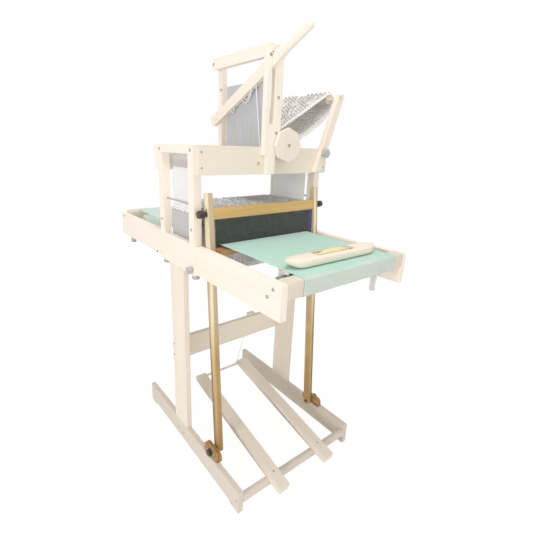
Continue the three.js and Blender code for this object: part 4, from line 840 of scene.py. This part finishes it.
def make_beater():
    for word, side in SIDES:
        dress("beater_upright_" + word, UPRIGHT[word], 2.2)
        dress("beater_knob_" + word, BLACK, 1.6)
        dress(
            "beater_bracket_" + word, DISC, 1.6, BLACK,
            lambda x, y, z: not BRACKET_BACK <= abs(x) <= BRACKET_FACE + 0.4,
        )
    dress("beater_cap", AMBER, 1.6)
    # The sley takes the amber darkened as painted shade.
    dress("beater_sley", SHADED_SHELF, 1.8)
    dress("reed", REED, 0.6)
    dents = Form()
    for i in range(int(2 * REED_HALF / DENT_PITCH) + 1):
        x = -REED_HALF + i * DENT_PITCH
        corners = [(x - 0.24, -2.4), (x + 0.24, -2.4), (x + 0.24, 2.4), (x - 0.24, 2.4)]
        dents.loft([[leaning(cx, cy, z) for cx, cy in corners] for z in (764.5, 853.5)])
    dents.make("reed_dents", REED, "beater", "reed_steel", smooth=20)
    binding = Form()
    for z in (762, 856):
        for i in range(int(REED_HALF / 2)):
            x = -REED_HALF + 2 + i * 4
            ring = [leaning(x, 3.1 * cos(t), z + 2.8 * sin(t)) for t in round_turn(8)]
            binding.tube(ring, 0.55, 0.55, 4, (1, 0, 0), True)
    binding.make("reed_binding", REED, "beater", "reed_steel", smooth=60)
    tape = Form()
    tape.loft([[leaning(x, y, z) for x, y in TAPE_SECTION] for z in (763, 855)])
    tape.make("reed_end_tape", TAPE, "beater", "reed_steel", smooth=20)
    screws, flanges = Form(), Form()
    for side in (-1, 1):
        for y in (-245, -187):
            flanges.turned(
                [(-0.5, 15.6), (0.9, 15.6), (1.5, 14.6), (1.5, 13.2), (1.0, 12.4), (1.0, 0)],
                (side * BRACKET_FACE, y, 105.8), (side, 0, 0), 36,
            )
            bolt(screws, (side * (BRACKET_FACE + 1), y, 105.8), (side, 0, 0), 3.0, 1.4)
        screws.turned(
            [(-0.4, 14.6), (1.6, 14.8), (2.6, 14.0), (3.4, 12.6)],
            (side * BRACKET_FACE, *PIVOT), (side, 0, 0), 32,
        )
    flanges.make("bracket_discs", DISC, "stand", "amber_wood")
    screws.make("bracket_screws", BLACK, "stand", "black_plastic")


# Shafts, heddles and their cords

SHAFT_ROWS = [(i - 3.5) * 24 for i in range(8)]
SHAFT_LOW, SHAFT_HIGH = 753, 958
HEDDLE_TOP = 986
WARP_LEVEL = 875
STRIP_HALF = 11.7
HEDDLE_HALF = 11.1
HEDDLE_REACH = 222.0
HEDDLE_GAP = (2.2, 3.4)
TIE_X = 235


def heddle(form, x, y):
    """A looped cord over both bars. It stands up above the shaft and is drawn together at its eye."""
    front, back = y - HEDDLE_HALF, y + HEDDLE_HALF
    bottom = SHAFT_LOW - 0.8
    top = HEDDLE_TOP + chance.uniform(-2.6, 2.6)
    sway = [chance.uniform(-1.6, 1.6) for _ in range(6)]
    side = [
        (front, SHAFT_HIGH - 14, 0), (front, SHAFT_HIGH + 1, 0),
        (y - 10.4, top - 8, sway[0]), (y - 6, top - 0.6, sway[1]),
        (y + 6, top, sway[2]), (y + 10.4, top - 8, sway[3]), (back, SHAFT_HIGH + 1, 0),
        (back, SHAFT_HIGH - 14, 0), (y + 2.2, SHAFT_HIGH - 34, sway[4]), (y + 0.9, WARP_LEVEL + 8, 0),
        (y + 1.9, WARP_LEVEL, 0), (y + 0.9, WARP_LEVEL - 8, 0), (y + 2.4, bottom + 40, sway[5]),
        (back, bottom + 16, 0), (back, bottom, 0), (front, bottom, 0), (front, bottom + 16, 0),
        (y - 2.4, bottom + 40, sway[5]), (y - 0.9, WARP_LEVEL - 8, 0), (y - 1.9, WARP_LEVEL, 0),
        (y - 0.9, WARP_LEVEL + 8, 0), (y - 2.2, SHAFT_HIGH - 34, sway[4]),
    ]
    form.tube([(x + lean, py, pz) for py, pz, lean in side], 0.6, 1.6, 4, (1, 0, 0), True)


def make_shafts():
    for i, y in enumerate(SHAFT_ROWS):
        name = "shaft_%d" % (i + 1)
        dress(name, SHAFT)
        form = Form()
        x = -HEDDLE_REACH
        while x < HEDDLE_REACH:
            heddle(form, x, y)
            x += chance.uniform(*HEDDLE_GAP)
        form.make("heddles_%d" % (i + 1), HEDDLE, name, "white_cord", smooth=80)
        clips = Form()
        for side in (-1, 1):
            clips.box(side * TIE_X - 8, side * TIE_X + 8, y - 8.5, y + 8.5, 958.2, 963.4, 1.6)
            for k in range(5):
                x = side * TIE_X + (k - 2) * 3.6
                ring = [(y - 8 + chance.uniform(-1, 1), 962), (y - 5, 972 + chance.uniform(-2, 2))]
                ring += [(y, 975), (y + 6, 971), (y + 9, 962)]
                clips.tube([(x + chance.uniform(-1, 1), py, pz) for py, pz in ring], 1.2, 1.5, 5, (1, 0, 0))
        clips.make("shaft_ties_%d" % (i + 1), HEDDLE, name, "white_cord", smooth=60)
        strips = Form()
        for side in (-1, 1):
            inner, outer = sorted((side * 243.9, side * 244.9))
            strips.box(inner, outer, y - STRIP_HALF, y + STRIP_HALF, SHAFT_LOW + 0.5, SHAFT_HIGH - 0.5, 0.3)
        strips.make("shaft_end_strips_%d" % (i + 1), SHAFT, name, "black_plastic", smooth=30)


CORD_X = 237
PULLEY = Sizes(x=215.2, z=1128, reach=23)
STRANDS = (-9.6, -4.8, 0.0, 4.8, 9.6)
TIE_Z = 1124
CORD_LOW, CORD_KNOT = 962.6, 1106
DROP_STEPS = 8
STRAND = (2.3, 0.8)


def over_pulley(side, y):
    """The way from a shaft's knot up and over its pulley."""
    line = [(side * CORD_X, y, CORD_KNOT), (side * (CORD_X + 1.2), y, PULLEY.z)]
    for k in range(1, 6):
        turn = pi / 2 * k / 5
        x = side * (PULLEY.x + PULLEY.reach * cos(turn))
        line.append((x, y, PULLEY.z + PULLEY.reach * sin(turn)))
    return line


def to_case(side, y):
    """The way on from the pulley's top to the hook case."""
    top = (side * (PULLEY.x + 2), y, PULLEY.z + PULLEY.reach)
    return [top, (side * 60, y, 1139), (1.8 if side > 0 else -9.8, y, TIE_Z)]


def make_harness():
    for word, side in SIDES:
        dress("pulley_stack_" + word, GREY, 0.4)
        over = Form()
        for i, y in enumerate(SHAFT_ROWS):
            form = Form()
            x = side * CORD_X
            for offset in STRANDS:
                heights = [CORD_LOW + (CORD_KNOT - CORD_LOW) * k / DROP_STEPS for k in range(DROP_STEPS + 1)]
                form.tube([(x, y + offset, z) for z in heights], *STRAND, 6, (1, 0, 0))
                over.tube(over_pulley(side, y + offset), *STRAND, 6, (1, 0, 0))
            for offset in (-2.6, 2.6):
                over.tube(to_case(side, y + offset), 0.9)
            form.box(x - 2, x + 2, y - 11.6, y + 11.6, CORD_KNOT - 3, CORD_KNOT + 1.5, 1.2)
            form.turned([(0, 2.6), (2, 4.2), (5, 4.4), (8, 2.4)], (x, y, 963.4), (0, 0, 1), 10)
            name = "harness_%s_%d" % (word, i + 1)
            cords = form.make(name, CORD, None, "white_cord", ("harness_cords_" + word,), 60)
            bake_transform(cords)
        over.make("pulley_cords_" + word, BAND, "stand", "white_cord", smooth=60)


# Dobby head


def make_head():
    for word in ("front", "back"):
        dress("head_%s_post" % word, WOOD["Z"], 1.4)
        dress("chain_arm_" + word, SLANTS["arm"], 1.8)
    dress("head_member", WOOD["Y"], 1.4)
    dress("hand_lever", SLANTS["lever"], 1.6)
    dress("hook_case", CASE, 1.0)
    dress("pattern_cylinder", SHADED_BEECH_WOOD["Z"], 1.4)
    dress("chain_roller", BEAM, 1.0)
    dress("arm_knob", GREY, 1.4)
    bolts = Form()
    for x, z in ((-33, 1448), (6, 1332), (2, 1226)):
        bolt(bolts, (x, -176.3, z), (0, -1, 0), 5, 2.2)
    bolt(bolts, (-9.7, 135, 1381), (-1, 0, 0), 4.5, 3)
    bolts.make("head_bolts", STEEL, "stand", "grey_metal")
    member, axle = Form(), Form()
    for y in (154, -166):
        bolt(member, (-31, y, 1465), (-1, 0, 0), 5, 2.2)
    member.make("member_bolts", STEEL, "stand", "grey_metal")
    bolt(axle, (49, -192.6, 1189), (0, -1, 0), 5.5, 2.4)
    axle.make("axle_bolt", STEEL, "cylinder", "grey_metal")


def make_case():
    """The hook case's two folded edges and the ribs on its sides."""
    trim, ribs = Form(), Form()
    for y0, y1 in ((-129.2, -126.4), (96.8, 99.2)):
        trim.box(-8.9, 0.9, y0, y1, 1117, 1387, 0.8)
    trim.make("case_edge", PALE, "stand", "black_plastic", smooth=30)
    for i in range(8):
        y = -105 + i * 24
        for x in (-8.4, -0.1):
            ribs.box(x, x + 0.5, y - 0.9, y + 0.9, 1196, 1374, 0.2)
    ribs.make("case_ribs", CASE, "stand", "black_plastic", smooth=30)


def knot(form, place, size):
    x, y, z = place
    flat, high = size * 0.7, size * 0.8
    ring = [(x + flat * cos(2 * t), y + size * sin(t), z + high * cos(3 * t)) for t in round_turn(14)]
    form.tube(ring, size * 0.42, size * 0.42, 5, (1, 0, 0), True)


LEVER = Sizes(y=143, z=1282, half=18, cord=257)
LEVER_CORD_FOOT = (-18, -126, 1150)
# Each loop's nearer and farther reach from the pivot, and how far it hangs down.
TIE_LOOPS = ((102, 122, 13), (176, 236, 24), (188, 226, 15))


def under_lever(reach):
    """A point on the lever's underside, so far from its pivot."""
    y = LEVER.y - reach * cos(LEVER_TILT)
    z = LEVER.z + reach * sin(LEVER_TILT) - LEVER.half / cos(LEVER_TILT)
    return y, z


def straight_cord(name, node, head, foot):
    cord = Form()
    cord.tube([head + (foot - head) * k / 10 for k in range(11)], 1.7, 1.7, 8, (1, 0, 0))
    return cord.make(name, CORD, None, "white_cord", (node,), 60)


def make_lever_cord():
    y, z = under_lever(LEVER.cord)
    foot = Vector(LEVER_CORD_FOOT)
    head = Vector((-18, y, z - 2.2))
    line = straight_cord("lever_line", "lever_cord", head, foot)
    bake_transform(line)
    ties = Form()
    for near, far, sag in TIE_LOOPS:
        bow = []
        for k in range(13):
            ty, tz = under_lever(near + (far - near) * k / 12)
            bow.append((-20, ty, tz - 1.2 - sag * sin(pi * k / 12) ** 0.8))
        ties.tube(bow, 1.5, 1.5, 6, (1, 0, 0))
        for reach in (near, far):
            ty, tz = under_lever(reach)
            knot(ties, (-19.5, ty, tz - 3.2), 3.6)
    knot(ties, (-18, y, z - 3.4), 3.8)
    ties.make("lever_ties", CORD, "lever", "white_cord", smooth=60)


def make_treadle_cord():
    y, z = on_treadle(515, 26)
    foot = Vector((66, y, z + 6.6))
    head = Vector((110, 65, 439.4))
    line = straight_cord("treadle_line", "treadle_cord", head, foot)
    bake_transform(line)
    tie = Form()
    knot(tie, (66, y, z + 6.4), 3.6)
    tie.make("treadle_tie", CORD, "treadles", "white_cord", smooth=60)


# Peg chain

# Its middle line runs as in the solids: round the cylinder, over the roller and back in a slack run.
DRUM = (49, 1189)
DRUM_REACH = 33.5
IDLER = (305.5, 1356)
IDLER_REACH = 17.5
ACROSS = Vector((0, 1, 0))
LAG_PITCH = 14
CHAIN_SLACK = Sizes(leave=radians(-50), arrive=radians(-10), pull=90)
PEG_ROWS = 11
PEG_PITCH = 21.6
# A lag's ends, each a place along it and how far its edges draw in there.
LAG_ENDS = ((-124, 0.8), (-123, 0), (123, 0), (124, 0.8))
CORD_ROWS = (-112, -64, 64, 112)
PEG_SHARE = 0.74
BROWN_SHARE = 0.3
# Outlines of a lag, of a hole and of a peg.
LAG = [(-5.7, 0.2), (-5.7, 5.4), (-4.5, 6.8), (4.5, 6.8), (5.7, 5.4), (5.7, 0.2)]
HOLE = [(0, 3.3), (0.5, 3.1), (0.5, 2.0), (-1.5, 1.8)]
PEG = [(0, 3.6), (2, 3.9), (5.4, 4.4), (7.2, 4.0), (7.9, 2.2)]


def chain_points():
    dx, dz = IDLER[0] - DRUM[0], IDLER[1] - DRUM[1]
    tangent = atan2(dz, dx) + pi / 2 + asin((IDLER_REACH - DRUM_REACH) / hypot(dx, dz))
    leave, arrive, pull = CHAIN_SLACK.leave, CHAIN_SLACK.arrive, CHAIN_SLACK.pull
    line = arc(DRUM[0], DRUM[1], DRUM_REACH, tangent, tau + leave, 40)
    start, end = line[-1], arc(IDLER[0], IDLER[1], IDLER_REACH, arrive, arrive, 1)[0]
    a = (start[0] - pull * sin(leave), start[1] + pull * cos(leave))
    b = (end[0] + pull * sin(arrive), end[1] - pull * cos(arrive))
    for k in range(1, 41):
        t = k / 40
        w = ((1 - t) ** 3, 3 * t * (1 - t) ** 2, 3 * t * t * (1 - t), t ** 3)
        line.append(tuple(w[0] * start[n] + w[1] * a[n] + w[2] * b[n] + w[3] * end[n] for n in (0, 1)))
    line += arc(IDLER[0], IDLER[1], IDLER_REACH, arrive, tangent, 24)[1:]
    line.append(line[0])
    return spread(line, 1.0)


def chain_spots():
    """The places of the lags along the chain, each with the direction that the chain runs in there."""
    line = chain_points()
    total = sum(dist(a, b) for a, b in zip(line, line[1:]))
    count = round(total / LAG_PITCH)
    spots, run, target = [], 0.0, 0.0
    for a, b in zip(line, line[1:]):
        step = dist(a, b)
        while step and target < run + step and len(spots) < count:
            t = (target - run) / step
            along = Vector((b[0] - a[0], 0, b[1] - a[1])).normalized()
            spots.append((Vector((a[0] + (b[0] - a[0]) * t, 0, a[1] + (b[1] - a[1]) * t)), along))
            target += total / count
        run += step
    return spots


def make_chain():
    spots = chain_spots()
    lags, pegs, brown, cords = Form(), Form(), Form(), Form()
    for spot, along in spots:
        out = Vector((along.z, 0, -along.x))
        rows = []
        for y, inset in LAG_ENDS:
            middle = spot + ACROSS * y
            rows.append([middle + along * u * (1 - inset * 0.12) + out * (v + inset * 0.3) for u, v in LAG])
        lags.loft(rows)
        for hole in range(PEG_ROWS):
            y = (hole - (PEG_ROWS - 1) / 2) * PEG_PITCH
            lags.turned(HOLE, spot + out * 6.6 + ACROSS * y, out, 10)
            if chance.random() < PEG_SHARE:
                lean = along * chance.uniform(-0.1, 0.1) + ACROSS * chance.uniform(-0.08, 0.08)
                form = brown if chance.random() < BROWN_SHARE else pegs
                form.turned(PEG, spot + out * 6 + ACROSS * y, (out + lean).normalized(), 10)
    for y in CORD_ROWS:
        path = [spot + Vector((along.z, 0, -along.x)) * -0.2 + ACROSS * y for spot, along in spots]
        cords.tube(path, 3.4, 1.0, 6, (0, 1, 0), True)
    made = [
        lags.make("peg_chain_lags", LAG_PAINT, None, "chain_black", ("peg_chain",), 35),
        pegs.make("peg_chain_pegs", PEG_PAINT, None, "chain_black", smooth=50),
        brown.make("peg_chain_marked", PEG_BROWN, None, "chain_black", smooth=50),
        cords.make("peg_chain_cords", CHAIN_CORD, None, "chain_black", smooth=60),
    ]
    for piece in made:
        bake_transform(piece)


# Shuttle

SHUTTLE_HALF = 187.5
SHUTTLE_TURN = radians(-1)
SHUTTLE_PLACE = (-5, -467, 874.8)
STATIONS = 48
PIRN_HEIGHT = 21
WELL_SIZE = (80, 17, 8)
WELL_LEVELS = ((4.5, -2.5), (6.5, -0.6), (9, 0), (40, 0.5))
SPINDLE_HEAD = [(-79.2, 3), (-78, 4.4), (-74, 4.4), (-72, 3)]


def carried(x, y, z):
    """A point of the shuttle, carried to where it lies on the cloth."""
    ahead, across = cos(SHUTTLE_TURN), sin(SHUTTLE_TURN)
    ox, oy, oz = SHUTTLE_PLACE
    return ox + x * ahead - y * across, oy + x * across + y * ahead, oz + z


def hull_rings():
    """The hull's outline at each station along it, narrower and higher towards both tips."""
    rings = []
    for k in range(STATIONS + 1):
        s = -1 + 2 * k / STATIONS
        near = max(0.0, (abs(s) - 0.7) / 0.3)
        width = 28 * (1 - near ** 2.2) + 0.9
        top = 27.6 - 1.6 * near ** 2.4
        bottom = 0.2 + 21 * near ** 2.2
        middle, high = (top + bottom) / 2, (top - bottom) / 2
        ring = []
        for t in round_turn(20):
            u, v = cos(t), sin(t)
            y, z = width * copysign(abs(u) ** 0.55, u), middle + high * copysign(abs(v) ** 0.5, v)
            ring.append(carried(s * SHUTTLE_HALF, y, z))
        rings.append(ring)
    return rings


def well_rings():
    """The opening for the pirn: a rectangle with round corners, at several heights."""
    rings = []
    for z, grow in WELL_LEVELS:
        a, b, r = WELL_SIZE[0] + grow, WELL_SIZE[1] + grow, WELL_SIZE[2]
        a, b = a - r, b - r
        ring = []
        for cx, cy, start in ((a, b, 0), (-a, b, 90), (-a, -b, 180), (a, -b, 270)):
            for step in range(5):
                t = radians(start + step * 22.5)
                ring.append(carried(cx + r * cos(t), cy + r * sin(t), z))
        rings.append(ring)
    return rings


def hollow_out(hull, well):
    """Cuts the form well out of the object hull."""
    mesh = bpy.data.meshes.new("well")
    mesh.from_pydata([at(p) for p in well.points], [], well.faces)
    cutter = linked("well", mesh)
    outward(cutter)
    hollow = hull.modifiers.new("well", "BOOLEAN")
    hollow.operation = "DIFFERENCE"
    hollow.solver = "EXACT"
    hollow.object = cutter
    bpy.context.view_layer.update()
    cut = bpy.data.meshes.new_from_object(hull.evaluated_get(bpy.context.evaluated_depsgraph_get()))
    hull.modifiers.clear()
    hull.data = cut
    bpy.data.objects.remove(cutter)
    hull.data.set_sharp_from_angle(angle=radians(45))


def make_shuttle():
    form, well = Form(), Form()
    form.loft(hull_rings())
    hull = form.make("boat_shuttle", BOARD, "shuttle", "beech", ("shuttle",), 50)
    well.loft(well_rings())
    hollow_out(hull, well)

    middle = carried(0, 0, PIRN_HEIGHT)
    axis = Vector(carried(1, 0, 0)) - Vector(carried(0, 0, 0))
    spindle = Form()
    spindle.turned([(-79.4, 1.9), (79.2, 1.6)], middle, axis, 12)
    spindle.turned(SPINDLE_HEAD, middle, axis, 16)
    spindle.make("spindle", STEEL, "shuttle", "grey_metal")
    pirn = Form()
    profile = [(-74, 3.2), (-73, 7.4), (-68, 7.8), (-66, 6)]
    for k in range(61):
        s = k / 60
        swell = sin(min(s / 0.45, 1) * pi / 2) if s < 0.45 else cos((s - 0.45) / 0.55 * pi / 2) ** 0.7
        profile.append((-65 + 129 * s, 4 + 10 * max(swell, 0) + 0.18 * sin(k * 2.4)))
    profile += [(65, 3.4), (68, 2.6)]
    pirn.turned(profile, middle, axis, 32)
    pirn.make("pirn_of_yarn", PIRN, "pirn", "yellow_yarn", ("pirn",), 60)


# Floor

FLOOR_REACH = 14
FLOOR_LEVEL = -0.0006
FLOOR_SHINE = 0.8
FLOOR_WHITE = 1.11


def make_floor():
    """A plain pale floor that shows white, with the loom's soft shadow on it."""
    paint = Paint("floor", roughness=0.95, specular=0.0)
    material = paint.finish(paint.mix(paint.noise((2, 2, 2), 2), (250, 250, 250), (247, 247, 247)))
    glow = paint.node("ShaderNodeEmission", {"Color": WHITE, "Strength": FLOOR_WHITE})
    share = paint.math("MULTIPLY", seen_directly(paint.tree), FLOOR_SHINE)
    both = paint.node("ShaderNodeMixShader", {0: share, 1: paint.shader.outputs[0], 2: glow.outputs[0]})
    paint.tree.links.new(both.outputs[0], paint.tree.nodes["Material Output"].inputs["Surface"])
    reach = FLOOR_REACH
    corners = [(-reach, -reach), (reach, -reach), (reach, reach), (-reach, reach)]
    mesh = bpy.data.meshes.new("floor")
    mesh.from_pydata([(x, y, FLOOR_LEVEL) for x, y in corners], [], [[0, 1, 2, 3]])
    mesh.materials.append(material)
    floor = linked("floor", mesh)


bpy.context.scene.view_settings.view_transform = "Standard"
make_camera()
make_light()
make_floor()
make_stand()
make_castle()
make_cloth()
make_warp()
make_rollers()
make_beater()
make_shafts()
make_harness()
make_head()
make_case()
make_lever_cord()
make_treadle_cord()
make_chain()
make_shuttle()
